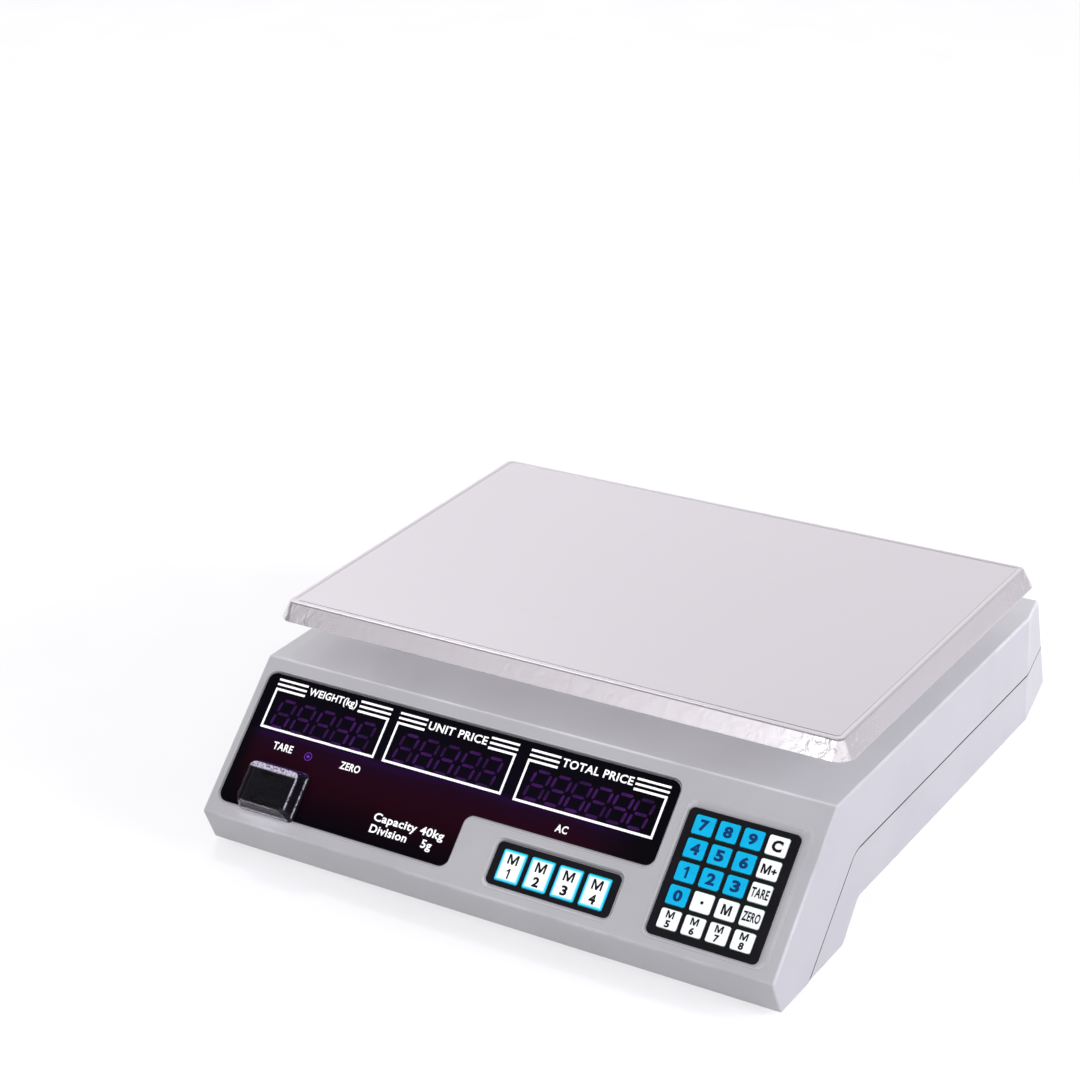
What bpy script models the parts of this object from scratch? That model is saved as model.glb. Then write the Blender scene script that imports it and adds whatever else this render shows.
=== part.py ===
"""Counter-top price-computing scale, in metres, with +Z up and +X to the operator's right.

The operator stands on the -Y side and the customer on the +Y side. The origin lies on the table,
under the middle of the scale. Each sub-part is one closed object with its own material.
"""

import math

import bmesh
import bpy
from mathutils import Matrix, Vector

MM = 0.001
TURN = 2 * math.pi

# Case: side outline, then walls. Y runs from the operator to the customer.
CASE_HALF_WIDTH = 169.5 * MM
WALL = 2.6 * MM
SEAM_GAP = 0.5 * MM
FIT_GAP = 0.4 * MM
TOUCH_GAP = 0.3 * MM
DECK_Z = 84.0 * MM
SEAM_Z = 49.5 * MM
REAR_FLOOR_Z = 21.0 * MM
FRONT_FLOOR_Z = 2.5 * MM
LIP_TOP = (-171.5 * MM, 21.5 * MM)
LIP_BOTTOM = (-164.0 * MM, FRONT_FLOOR_Z)
DECK_FRONT = (-105.5 * MM, DECK_Z)
DECK_REAR = (146.5 * MM, DECK_Z)
REAR_BOTTOM = (171.5 * MM, REAR_FLOOR_Z)
SEAM_FRONT = (-86.5 * MM, SEAM_Z)
STEP_TOP = (-82.5 * MM, REAR_FLOOR_Z)
STEP_BOTTOM = (-99.0 * MM, FRONT_FLOOR_Z)
CORNER_CREASE_Y = 124.5 * MM
CORNER_TAPER = 0.2

# Weighing pan and what carries it.
PAN_Y = 17.5 * MM
PAN_TOP_Z = 111.5 * MM
PAN_FLAT = (329.6 * MM, 219.4 * MM)
PAN_FLARE = 5.3 * MM
PAN_DROP = 9.8 * MM
PAN_SHEET = 0.8 * MM
PAD_X, PAD_Y = 118.0 * MM, 76.0 * MM
PAD_RADIUS, PAD_HEIGHT = 9.0 * MM, 5.0 * MM
ARM_DEPTH = 9.0 * MM
SPINE_HALF_WIDTH, ARM_HALF_WIDTH = 14.0 * MM, 11.0 * MM
POST_X = 50.0 * MM
POST_SIZE, POST_HOLE = (24.0 * MM, 22.0 * MM), (33.0 * MM, 33.0 * MM)
PEDESTAL_LENGTH = 32.0 * MM
STOP_X, STOP_BOSS_RADIUS, STOP_BOSS_TOP_Z = 28.0 * MM, 8.0 * MM, 36.0 * MM
STOP_NUT_RADIUS, STOP_NUT_Z = 7.0 * MM, (36.4 * MM, 41.0 * MM)
CELL_LENGTH, CELL_WIDTH, CELL_HEIGHT = 130.0 * MM, 30.0 * MM, 22.0 * MM
CELL_BOTTOM_Z = 50.0 * MM
FLEXURE_X, FLEXURE_RADIUS, FLEXURE_SLOT = 9.0 * MM, 6.5 * MM, 4.0 * MM
BOLT_X = (43.0 * MM, 57.0 * MM)
BOLT_RADIUS, BOLT_HEAD_RADIUS, BOLT_HEAD_HEIGHT = 3.0 * MM, 5.0 * MM, 4.0 * MM

# Levelling feet.
FOOT_X = 130.0 * MM
FOOT_Y = (-118.0 * MM, 135.0 * MM)
FOOT_RADIUS, FOOT_THICKNESS = 11.0 * MM, 6.0 * MM
FOOT_POCKET_Z = 8.8 * MM
STUD_RADIUS, STUD_HOLE_RADIUS = 4.0 * MM, 4.4 * MM
FRONT_STUD_TOP_Z, REAR_STUD_TOP_Z = 20.0 * MM, 36.0 * MM
FRONT_BOSS_RADIUS, FRONT_BOSS_TOP_Z, FRONT_HOLE_TOP_Z = 14.0 * MM, 24.0 * MM, 30.0 * MM
REAR_BOSS_RADIUS, REAR_BOSS_Z, REAR_HOLE_TOP_Z = 13.0 * MM, (9.0 * MM, 40.0 * MM), 45.0 * MM

# Control panel, in its own frame: U across, V up the slope from the lip, W out of the panel.
WINDOW_BOX = ((-163.5 * MM, 38.0 * MM), (88.5 * MM, 82.5 * MM))
WINDOW_FOOT = ((-163.5 * MM, 8.5 * MM), (-19.0 * MM, 38.0 * MM))
WINDOW_CORNER = 5.0 * MM
WINDOW_THICKNESS = 1.2 * MM
RECESS = 1.5 * MM
LEDGE = 3.0 * MM
THROUGH_PANEL = (-10.0 * MM, 5.0 * MM)
WINDOW_SPREAD, MAIN_PAD_SPREAD, MEMORY_PAD_SPREAD = 0.8 * MM, 3.6 * MM, 1.4 * MM
READOUTS = {
    "weight_readout": (-156.5 * MM, -83.0 * MM),
    "unit_price_readout": (-77.5 * MM, -4.5 * MM),
    "total_price_readout": (3.0 * MM, 83.5 * MM),
}
READOUT_V, READOUT_W, READOUT_MARGIN = (52.0 * MM, 73.0 * MM), (-9.7 * MM, -3.2 * MM), 2.0 * MM
DISPLAY_BOARD, DISPLAY_BOARD_W = ((-158.0 * MM, 42.0 * MM), (85.0 * MM, 79.0 * MM)), -11.6 * MM
SWITCH_CENTRE = (-131.0 * MM, 20.5 * MM)
SWITCH_FLANGE = (35.0 * MM, 27.0 * MM)
SWITCH_BODY = (27.0 * MM, 21.0 * MM)
ROCKER = (22.0 * MM, 14.0 * MM)
ROCKER_TILT, ROCKER_FACE, ROCKER_SHOULDER, ROCKER_KEEL = math.radians(8), 1.2 * MM, -3.0 * MM, -7.0 * MM
SWITCH_BODY_DEPTH, SWITCH_WELL_DEPTH, SWITCH_FLANGE_TOP = 18.0 * MM, 9.0 * MM, 2.0 * MM
COVER_HEIGHT = 7.6 * MM
COVER_WALL, COVER_TAPER, COVER_CORNER = 1.0 * MM, 5.0 * MM, 2.0 * MM
OVERLAY_THICKNESS = 0.8 * MM
MAIN_PAD = ((97.0 * MM, 7.0 * MM), (157.5 * MM, 72.5 * MM))
MEMORY_PAD = ((5.0 * MM, 7.5 * MM), (76.0 * MM, 30.0 * MM))
PAD_CORNER = 3.0 * MM
KEY_GAP = 0.35 * MM
KEY_THICKNESS = 2.0 * MM
KEY_PROUD = 0.15 * MM
KEY_SIZE = (11.0 * MM, 9.8 * MM)
KEY_PITCH = (13.3 * MM, 12.1 * MM)
FIRST_KEY = (107.0 * MM, 64.5 * MM)
KEY_ROWS = (
    ("key_7", "key_8", "key_9", "key_clear"),
    ("key_4", "key_5", "key_6", "key_add"),
    ("key_1", "key_2", "key_3", "key_tare"),
    ("key_0", "key_point", "key_recall", "key_zero"),
    ("key_memory_5", "key_memory_6", "key_memory_7", "key_memory_8"),
)
BLUE_KEYS = tuple(f"key_{digit}" for digit in range(10))
MEMORY_KEY_SIZE = (13.6 * MM, 16.4 * MM)
MEMORY_PITCH = 16.2 * MM
FIRST_MEMORY_KEY = (16.2 * MM, 18.4 * MM)
MEMORY_KEYS = ("key_memory_1", "key_memory_2", "key_memory_3", "key_memory_4")
BOARD = 1.6 * MM

# Customer side and mains socket.
CUSTOMER_WINDOW = ((-95.0 * MM, 6.0 * MM), (95.0 * MM, 31.0 * MM))
INLET_Y, INLET_Z = 112.0 * MM, 36.0 * MM
INLET_FLANGE = (31.0 * MM, 23.0 * MM)
INLET_BODY = (27.0 * MM, 19.0 * MM)
INLET_SOCKET = (24.0 * MM, 16.0 * MM)
INLET_DEPTH = 20.0 * MM
INLET_FLOOR = 3.0 * MM
INLET_PROUD = 0.6 * MM
PIN_OFFSETS = ((0.0, 3.0 * MM), (-7.0 * MM, -1.0 * MM), (7.0 * MM, -1.0 * MM))
PIN_SIZE, PIN_SETBACK = (2.0 * MM, 4.0 * MM), 5.5 * MM

# Boards and power inside the lower shell. Heights are above its floor.
INNER_FLOOR_Z = REAR_FLOOR_Z + WALL
MAIN_BOARD, MAIN_BOARD_RISE = ((-50.0 * MM, 62.0 * MM), (75.0 * MM, 132.0 * MM)), 6.0 * MM
PROCESSOR, PROCESSOR_HEIGHT = ((-38.0 * MM, 76.0 * MM), (-12.0 * MM, 90.0 * MM)), 5.0 * MM
HEAT_SINK, HEAT_SINK_HEIGHT = ((10.0 * MM, 84.0 * MM), (40.0 * MM, 112.0 * MM)), 8.0 * MM
CAPACITOR_PLACE, CAPACITOR_RADIUS, CAPACITOR_HEIGHT = (60.0 * MM, 84.0 * MM), 7.0 * MM, 20.0 * MM
CORE, CORE_HEIGHT = ((90.0 * MM, 70.0 * MM), (147.0 * MM, 100.0 * MM)), 45.0 * MM
WINDING, WINDING_HEIGHTS = ((100.0 * MM, 60.0 * MM), (137.0 * MM, 110.0 * MM)), (8.0 * MM, 38.0 * MM)
BATTERY, BATTERY_HEIGHT = ((-140.0 * MM, 5.0 * MM), (-70.0 * MM, 98.0 * MM)), 46.0 * MM
TERMINAL_X, TERMINAL_Y, TERMINAL_SIZE = (-125.0 * MM, -85.0 * MM), 87.0 * MM, (6.0 * MM, 6.0 * MM)
TERMINAL_HEIGHT = 51.0 * MM
SUNK = 1.0 * MM


def clear_scene():
    for old in list(bpy.data.objects):
        bpy.data.objects.remove(old, do_unlink=True)


def finish(name, colour, roughness, metallic=0.0):
    """A material named for a finish; each sub-part gets its own copy."""
    made = bpy.data.materials.new(name)
    made.use_nodes = True
    shader = made.node_tree.nodes["Principled BSDF"]
    shader.inputs["Base Color"].default_value = (*colour, 1.0)
    shader.inputs["Roughness"].default_value = roughness
    shader.inputs["Metallic"].default_value = metallic
    return made


FINISHES = {
    "light_plastic": ((0.62, 0.62, 0.66), 0.35, 0.0),
    "steel_sheet": ((0.72, 0.71, 0.73), 0.28, 1.0),
    "cast_aluminium": ((0.55, 0.56, 0.57), 0.45, 1.0),
    "zinc_steel": ((0.60, 0.60, 0.58), 0.30, 1.0),
    "black_plastic": ((0.012, 0.012, 0.014), 0.35, 0.0),
    "smoked_acrylic": ((0.015, 0.005, 0.02), 0.08, 0.0),
    "clear_plastic": ((0.30, 0.30, 0.32), 0.10, 0.0),
    "black_film": ((0.010, 0.010, 0.012), 0.40, 0.0),
    "blue_film": ((0.005, 0.45, 0.85), 0.35, 0.0),
    "white_film": ((0.85, 0.85, 0.85), 0.35, 0.0),
    "black_rubber": ((0.02, 0.02, 0.02), 0.80, 0.0),
    "circuit_board": ((0.02, 0.16, 0.06), 0.50, 0.0),
    "readout_block": ((0.05, 0.05, 0.05), 0.50, 0.0),
    "core_steel": ((0.35, 0.33, 0.30), 0.50, 1.0),
    "battery_case": ((0.08, 0.09, 0.10), 0.55, 0.0),
}


def node(name, shape, look, frame=None, place=(0, 0, 0), smooth=False):
    """Turn a bmesh into a named object, in the world or under a frame's empty."""
    bmesh.ops.recalc_face_normals(shape, faces=shape.faces)
    mesh = bpy.data.meshes.new(name)
    shape.to_mesh(mesh)
    shape.free()
    made = bpy.data.objects.new(name, mesh)
    bpy.context.collection.objects.link(made)
    made.parent = frame
    made.location = place
    if look:
        mesh.materials.append(finish(f"{name}_{look}", *FINISHES[look]))
    if smooth:
        mesh.shade_smooth()
        mesh.set_sharp_from_angle(angle=math.radians(35))
    return made


def helper(target, operation, shape, frame=None, place=(0, 0, 0)):
    """Cut a hidden helper shape from an object, or join it on."""
    tool = node(f"{target.name}_{operation.lower()}_{len(target.modifiers)}", shape, None, frame, place)
    tool.hide_render = True
    tool.display_type = "WIRE"
    step = target.modifiers.new(operation.title(), "BOOLEAN")
    step.operation = operation
    step.solver = "EXACT"
    step.object = tool


def cut(target, shape, frame=None, place=(0, 0, 0)):
    helper(target, "DIFFERENCE", shape, frame, place)


def join(target, shape, frame=None, place=(0, 0, 0)):
    helper(target, "UNION", shape, frame, place)


def prism(outline, low, high, axis="Z"):
    """Extrude a closed outline along an axis. An X prism's outline is in Y and Z."""
    return loft(outline, low, outline, high, axis)


def loft(first, low, second, high, axis="Z"):
    """Join two outlines with equally many points, at two places along an axis, into a closed solid."""
    shape = bmesh.new()
    if axis == "X":
        ends = [[shape.verts.new((low, *point)) for point in first],
                [shape.verts.new((high, *point)) for point in second]]
    else:
        ends = [[shape.verts.new((*point, low)) for point in first],
                [shape.verts.new((*point, high)) for point in second]]
    shape.faces.new(ends[0])
    shape.faces.new(ends[1])
    count = len(first)
    for i in range(count):
        j = (i + 1) % count
        shape.faces.new((ends[0][i], ends[0][j], ends[1][j], ends[1][i]))
    return shape


def dish(outline_grown_by, spread):
    """A recess cutter whose walls lean outwards by a spread where they meet the panel's face."""
    above = 1 * MM
    lean = spread * (RECESS + above) / RECESS
    return loft(outline_grown_by(FIT_GAP), -RECESS, outline_grown_by(FIT_GAP + lean), above)


def rectangle(low, high):
    return [low, (high[0], low[1]), high, (low[0], high[1])]


def grown(rect, by):
    low, high = rect
    return (low[0] - by, low[1] - by), (high[0] + by, high[1] + by)


def around(centre, size):
    """The low and high corners of a rectangle of a size about a centre."""
    half_u, half_v = size[0] / 2, size[1] / 2
    return (centre[0] - half_u, centre[1] - half_v), (centre[0] + half_u, centre[1] + half_v)


def rounded(rect, radius, steps=3):
    """A rectangle's outline with round corners."""
    (u0, v0), (u1, v1) = rect
    outline = []
    centres = ((u1 - radius, v1 - radius), (u0 + radius, v1 - radius),
               (u0 + radius, v0 + radius), (u1 - radius, v0 + radius))
    for quarter, (u, v) in enumerate(centres):
        for step in range(steps + 1):
            angle = TURN / 4 * (quarter + step / steps)
            outline.append((u + radius * math.cos(angle), v + radius * math.sin(angle)))
    return outline


def circle(radius, sides=20, centre=(0, 0)):
    return [(centre[0] + radius * math.cos(TURN * k / sides),
             centre[1] + radius * math.sin(TURN * k / sides)) for k in range(sides)]


def block(low, high):
    return prism(rectangle(low[:2], high[:2]), low[2], high[2])


def merged(shapes):
    """Several shapes in one bmesh, for a helper that cuts or joins in many places."""
    whole = bmesh.new()
    for shape in shapes:
        part = bpy.data.meshes.new("part")
        shape.to_mesh(part)
        shape.free()
        whole.from_mesh(part)
        bpy.data.meshes.remove(part)
    bmesh.ops.recalc_face_normals(whole, faces=whole.faces)
    return whole


def turned(profile, sides=20):
    """Stack circles of (radius, z) into one closed round solid."""
    shape = bmesh.new()
    rings = [[shape.verts.new((*point, z)) for point in circle(radius, sides)] for radius, z in profile]
    shape.faces.new(rings[0])
    shape.faces.new(rings[-1])
    for lower, upper in zip(rings, rings[1:]):
        for i in range(sides):
            j = (i + 1) % sides
            shape.faces.new((lower[i], lower[j], upper[j], upper[i]))
    return shape


def moved_in(outline, distances):
    """Move each edge of an anticlockwise outline inwards by its own distance, with mitred corners."""
    lines = []
    for i, distance in enumerate(distances):
        start, end = Vector(outline[i]), Vector(outline[(i + 1) % len(outline)])
        along = (end - start).normalized()
        inward = Vector((-along.y, along.x))
        lines.append((start + inward * distance, along))
    corners = []
    for i, (point, along) in enumerate(lines):
        before, before_along = lines[i - 1]
        cross = before_along.x * along.y - before_along.y * along.x
        gap = point - before
        travel = (gap.x * along.y - gap.y * along.x) / cross
        corners.append(tuple(before + before_along * travel))
    return corners


def case_block(outline, inset):
    """A full-width slice of the case: a side outline, with the two rear corners cut off slanting."""
    half = CASE_HALF_WIDTH - inset
    shape = prism(outline, -half, half, axis="X")
    for side in (-1, 1):
        facing = Vector((side, CORNER_TAPER, 0)).normalized()
        crease = Vector((side * CASE_HALF_WIDTH, CORNER_CREASE_Y, 0)) - facing * inset
        everything = shape.verts[:] + shape.edges[:] + shape.faces[:]
        bmesh.ops.bisect_plane(shape, geom=everything, plane_co=crease, plane_no=facing, clear_outer=True)
        bmesh.ops.holes_fill(shape, edges=[edge for edge in shape.edges if edge.is_boundary])
    return shape


def sloping_frame(name, origin, across, up):
    """An empty whose X runs across a sloping face, Y up it and Z out of it."""
    across, up = Vector(across), Vector(up).normalized()
    out = across.cross(up)
    matrix = Matrix((across, up, out)).transposed().to_4x4()
    matrix.translation = origin
    frame = bpy.data.objects.new(name, None)
    bpy.context.collection.objects.link(frame)
    frame.matrix_world = matrix
    return frame


def seam_rear():
    """The point where the seam meets the sloping rear wall."""
    share = (SEAM_Z - REAR_FLOOR_Z) / (DECK_Z - REAR_FLOOR_Z)
    return REAR_BOTTOM[0] + (DECK_REAR[0] - REAR_BOTTOM[0]) * share, SEAM_Z


def seam_foot():
    """The point where the seam, parallel to the panel, comes down to the front floor."""
    run = (DECK_FRONT[0] - LIP_TOP[0]) / (DECK_FRONT[1] - LIP_TOP[1])
    return SEAM_FRONT[0] - (SEAM_Z - FRONT_FLOOR_Z) * run, FRONT_FLOOR_Z


def window_outline(by=0.0):
    """The L-shaped window with rounded outer corners, made larger or smaller all round."""
    (left, shelf), (right, top) = grown(WINDOW_BOX, by)
    (_, bottom), (step, _) = grown(WINDOW_FOOT, by)
    shelf = WINDOW_BOX[0][1] - by
    radius = WINDOW_CORNER
    corners = ((right - radius, top - radius, 0), (left + radius, top - radius, 1),
               (left + radius, bottom + radius, 2), (step - radius, bottom + radius, 3))
    outline = []
    for u, v, quarter in corners:
        for k in range(4):
            angle = TURN / 4 * (quarter + k / 3)
            outline.append((u + radius * math.cos(angle), v + radius * math.sin(angle)))
    outline.append((step, shelf))
    for k in range(4):
        angle = TURN / 4 * (3 + k / 3)
        outline.append((right - radius + radius * math.cos(angle), shelf + radius + radius * math.sin(angle)))
    return outline


def top_housing(panel, customer_side):
    """Upper shell: control panel, deck, side walls and sloping rear wall, open underneath."""
    outline = [LIP_BOTTOM, seam_foot(), SEAM_FRONT, seam_rear(), DECK_REAR, DECK_FRONT, LIP_TOP]
    through = -4 * MM
    hollow = moved_in(outline, [through, through, through, WALL, WALL, WALL, WALL])
    shell = node("top_housing", case_block(outline, 0.0), "light_plastic")
    cut(shell, case_block(hollow, WALL))
    # Recesses first, then the openings inside their ledges.
    recesses = [dish(window_outline, WINDOW_SPREAD)]
    openings = [prism(window_outline(-LEDGE), *THROUGH_PANEL)]
    for pad, spread in ((MAIN_PAD, MAIN_PAD_SPREAD), (MEMORY_PAD, MEMORY_PAD_SPREAD)):
        recesses.append(dish(lambda by, pad=pad: rounded(grown(pad, by), PAD_CORNER + by), spread))
        openings.append(prism(rectangle(*grown(pad, -LEDGE / 2)), *THROUGH_PANEL))
    cut(shell, merged(recesses), panel)
    cut(shell, merged(openings), panel)
    # The switch reaches down past the window's ledge.
    switch_hole = around(SWITCH_CENTRE, [side + 2 * FIT_GAP for side in SWITCH_BODY])
    cut(shell, prism(rectangle(*switch_hole), *THROUGH_PANEL), panel)
    customer_recess = rounded(grown(CUSTOMER_WINDOW, FIT_GAP), PAD_CORNER)
    cut(shell, prism(customer_recess, -RECESS, THROUGH_PANEL[1]), customer_side)
    cut(shell, prism(rectangle(*grown(CUSTOMER_WINDOW, -LEDGE)), *THROUGH_PANEL), customer_side)
    # The pan support's post passes through the deck.
    post_hole = around((POST_X, PAN_Y), POST_HOLE)
    cut(shell, prism(rectangle(*post_hole), DECK_Z - 5 * MM, DECK_Z + 5 * MM))
    return shell


def bottom_housing():
    """Lower shell: floor, low walls, load cell pedestal, stop boss, foot bosses, inlet cut-out."""
    outline = [seam_foot(), STEP_BOTTOM, STEP_TOP, REAR_BOTTOM, seam_rear(), SEAM_FRONT]
    outer = moved_in(outline, [0, 0, 0, 0, SEAM_GAP, SEAM_GAP])
    hollow = moved_in(outline, [WALL, WALL, WALL, WALL, -5 * MM, -5 * MM])
    shell = node("bottom_housing", case_block(outer, 0.0), "light_plastic")
    cut(shell, case_block(hollow, WALL))
    tongue_x = CASE_HALF_WIDTH - WALL - FIT_GAP
    tongue = block((-tongue_x, LIP_BOTTOM[0] + WALL + 1.2 * MM, FRONT_FLOOR_Z + TOUCH_GAP),
                   (tongue_x, seam_foot()[0] + 8 * MM, FRONT_FLOOR_Z + WALL - TOUCH_GAP))
    join(shell, tongue)
    floor = REAR_FLOOR_Z + WALL / 2
    pedestal = block((-CELL_LENGTH / 2, PAN_Y - CELL_WIDTH / 2, floor),
                     (-CELL_LENGTH / 2 + PEDESTAL_LENGTH, PAN_Y + CELL_WIDTH / 2, CELL_BOTTOM_Z - TOUCH_GAP))
    stop_boss = prism(circle(STOP_BOSS_RADIUS, centre=(STOP_X, PAN_Y)), floor, STOP_BOSS_TOP_Z)
    bosses, pockets = [pedestal, stop_boss], []
    holes = [prism(circle(STUD_HOLE_RADIUS, 12, (STOP_X, PAN_Y)), 26 * MM, 40 * MM)]
    for x in BOLT_X:
        holes.append(prism(circle(BOLT_RADIUS + FIT_GAP, 12, (-x, PAN_Y)), 36 * MM, 60 * MM))
    for x in (-FOOT_X, FOOT_X):
        front, rear = (x, FOOT_Y[0]), (x, FOOT_Y[1])
        bosses.append(prism(circle(FRONT_BOSS_RADIUS, centre=front),
                            FRONT_FLOOR_Z + WALL / 2, FRONT_BOSS_TOP_Z))
        bosses.append(prism(circle(REAR_BOSS_RADIUS, centre=rear), *REAR_BOSS_Z))
        pockets.append(prism(circle(FOOT_RADIUS + 2 * FIT_GAP, centre=front), 0, FOOT_POCKET_Z))
        holes.append(prism(circle(STUD_HOLE_RADIUS, 14, front), 0, FRONT_HOLE_TOP_Z))
        holes.append(prism(circle(STUD_HOLE_RADIUS, 14, rear), 0, REAR_HOLE_TOP_Z))
    join(shell, merged(bosses))
    cut(shell, merged(pockets))
    cut(shell, merged(holes))
    cutout = around((INLET_Y, INLET_Z), [side + 2 * FIT_GAP for side in INLET_BODY])
    cut(shell, prism(rectangle(*cutout), -CASE_HALF_WIDTH - 5 * MM, -CASE_HALF_WIDTH + 8 * MM, axis="X"))
    return shell


def levelling_feet():
    """A round foot moulded on a screwed stud, in each corner boss."""
    for y, place, reach in ((FOOT_Y[0], "front", FRONT_STUD_TOP_Z), (FOOT_Y[1], "rear", REAR_STUD_TOP_Z)):
        for x, side in ((-FOOT_X, "left"), (FOOT_X, "right")):
            profile = ((FOOT_RADIUS - 1 * MM, 0), (FOOT_RADIUS, 1 * MM),
                       (FOOT_RADIUS, FOOT_THICKNESS), (STUD_RADIUS, FOOT_THICKNESS), (STUD_RADIUS, reach))
            node(f"levelling_foot_{place}_{side}", turned(profile), "black_rubber",
                 place=(x, y, 0), smooth=True)


def weighing_pan():
    """Folded stainless tray: flat top and a rim that flares out and down, open underneath."""
    def ring(shape, grow, z, corner):
        rect = grown(around((0, 0), PAN_FLAT), grow)
        return [shape.verts.new((*point, z)) for point in rounded(rect, corner, 2)]

    shape = bmesh.new()
    slope = math.atan2(PAN_DROP, PAN_FLARE)
    side_step = PAN_SHEET / math.sin(slope)
    inside_grow = -PAN_SHEET * math.tan(slope / 2)
    loops = [
        ring(shape, 0, 0, 1.5 * MM),
        ring(shape, PAN_FLARE, -PAN_DROP, 4 * MM),
        ring(shape, PAN_FLARE - side_step, -PAN_DROP, 3.2 * MM),
        ring(shape, inside_grow, -PAN_SHEET, 1 * MM),
    ]
    shape.faces.new(loops[0])
    shape.faces.new(loops[-1])
    for outer, inner in zip(loops, loops[1:]):
        for i in range(len(outer)):
            j = (i + 1) % len(outer)
            shape.faces.new((outer[i], outer[j], inner[j], inner[i]))
    node("weighing_pan", shape, "steel_sheet", place=(0, PAN_Y, PAN_TOP_Z))


def pan_support():
    """Cast cross under the pan, with a post that goes down to the load cell's free end."""
    pad_top = PAN_TOP_Z - PAN_SHEET - TOUCH_GAP
    arm_top = pad_top - PAD_HEIGHT - TOUCH_GAP
    arm_low = arm_top - ARM_DEPTH
    spine = block((-PAD_X + 6 * MM, PAN_Y - SPINE_HALF_WIDTH, arm_low),
                  (PAD_X - 6 * MM, PAN_Y + SPINE_HALF_WIDTH, arm_top))
    support = node("pan_support", spine, "cast_aluminium")
    arms = []
    for x in (-PAD_X, PAD_X):
        arms.append(block((x - ARM_HALF_WIDTH, PAN_Y - PAD_Y - ARM_HALF_WIDTH, arm_low + 0.5 * MM),
                          (x + ARM_HALF_WIDTH, PAN_Y + PAD_Y + ARM_HALF_WIDTH, arm_top)))
    post = prism(rectangle(*around((POST_X, PAN_Y), POST_SIZE)),
                 CELL_BOTTOM_Z + CELL_HEIGHT + TOUCH_GAP, arm_low + 4 * MM)
    join(support, merged(arms))
    join(support, post)
    holes = [prism(circle(BOLT_RADIUS + FIT_GAP, 12, (x, PAN_Y)), 60 * MM, 92 * MM) for x in BOLT_X]
    cut(support, merged(holes))
    for x, side in ((-PAD_X, "left"), (PAD_X, "right")):
        for y, place in ((-PAD_Y, "front"), (PAD_Y, "rear")):
            node(f"pan_pad_{place}_{side}", turned(((PAD_RADIUS, 0), (PAD_RADIUS, PAD_HEIGHT - 1 * MM),
                                                    (PAD_RADIUS - 1 * MM, PAD_HEIGHT))),
                 "black_rubber", place=(x, PAN_Y + y, arm_top + TOUCH_GAP), smooth=True)


def load_cell():
    """Single-point aluminium beam with a double-hole flexure, bolted at both ends."""
    top = CELL_BOTTOM_Z + CELL_HEIGHT
    beam = block((-CELL_LENGTH / 2, PAN_Y - CELL_WIDTH / 2, CELL_BOTTOM_Z),
                 (CELL_LENGTH / 2, PAN_Y + CELL_WIDTH / 2, top))
    cell = node("load_cell", beam, "cast_aluminium")
    middle = CELL_BOTTOM_Z + CELL_HEIGHT / 2
    flexure = bmesh.new()
    for x in (-FLEXURE_X, FLEXURE_X):
        turn = Matrix.Translation((x, PAN_Y, middle)) @ Matrix.Rotation(TURN / 4, 4, "X")
        bmesh.ops.create_cone(flexure, cap_ends=True, segments=16, radius1=FLEXURE_RADIUS,
                              radius2=FLEXURE_RADIUS, depth=2 * CELL_WIDTH, matrix=turn)
    cut(cell, flexure)
    cut(cell, block((-FLEXURE_X, PAN_Y - CELL_WIDTH, middle - FLEXURE_SLOT / 2),
                    (FLEXURE_X, PAN_Y + CELL_WIDTH, middle + FLEXURE_SLOT / 2)))
    holes = [prism(circle(BOLT_RADIUS + FIT_GAP, 12, (x * side, PAN_Y)), 40 * MM, 80 * MM)
             for x in BOLT_X for side in (-1, 1)]
    cut(cell, merged(holes))
    for number, x in enumerate(BOLT_X, 1):
        head = (BOLT_HEAD_RADIUS, 0), (BOLT_HEAD_RADIUS, BOLT_HEAD_HEIGHT)
        down = turned(((BOLT_RADIUS, -34 * MM), (BOLT_RADIUS, 0), *head), 12)
        node(f"cell_bolt_fixed_{number}", down, "zinc_steel", place=(-x, PAN_Y, top + TOUCH_GAP), smooth=True)
        up = turned((*head, (BOLT_RADIUS, BOLT_HEAD_HEIGHT), (BOLT_RADIUS, BOLT_HEAD_HEIGHT + 38 * MM)), 12)
        node(f"cell_bolt_free_{number}", up, "zinc_steel",
             place=(x, PAN_Y, CELL_BOTTOM_Z - TOUCH_GAP - BOLT_HEAD_HEIGHT), smooth=True)
    nut_low, nut_high = STOP_NUT_Z
    stop = turned(((STUD_RADIUS, 27 * MM), (STUD_RADIUS, nut_low), (STOP_NUT_RADIUS, nut_low),
                   (STOP_NUT_RADIUS, nut_high), (STUD_RADIUS, nut_high),
                   (STUD_RADIUS, CELL_BOTTOM_Z - 0.7 * MM)), 12)
    node("overload_stop_screw", stop, "zinc_steel", place=(STOP_X, PAN_Y, 0), smooth=True)


def display(panel):
    """Smoked window, the board behind it and its three digit blocks."""
    window = node("display_window", prism(window_outline(), -WINDOW_THICKNESS, 0), "smoked_acrylic", panel)
    switch_hole = around(SWITCH_CENTRE, [side + 2 * FIT_GAP for side in SWITCH_BODY])
    cut(window, prism(rectangle(*switch_hole), *THROUGH_PANEL), panel)
    board = prism(rectangle(*DISPLAY_BOARD), DISPLAY_BOARD_W, DISPLAY_BOARD_W + BOARD)
    node("display_board", board, "circuit_board", panel)
    for name, (left, right) in READOUTS.items():
        face = rectangle((left + READOUT_MARGIN, READOUT_V[0]), (right - READOUT_MARGIN, READOUT_V[1]))
        node(name, prism(face, *READOUT_W), "readout_block", panel)


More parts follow.
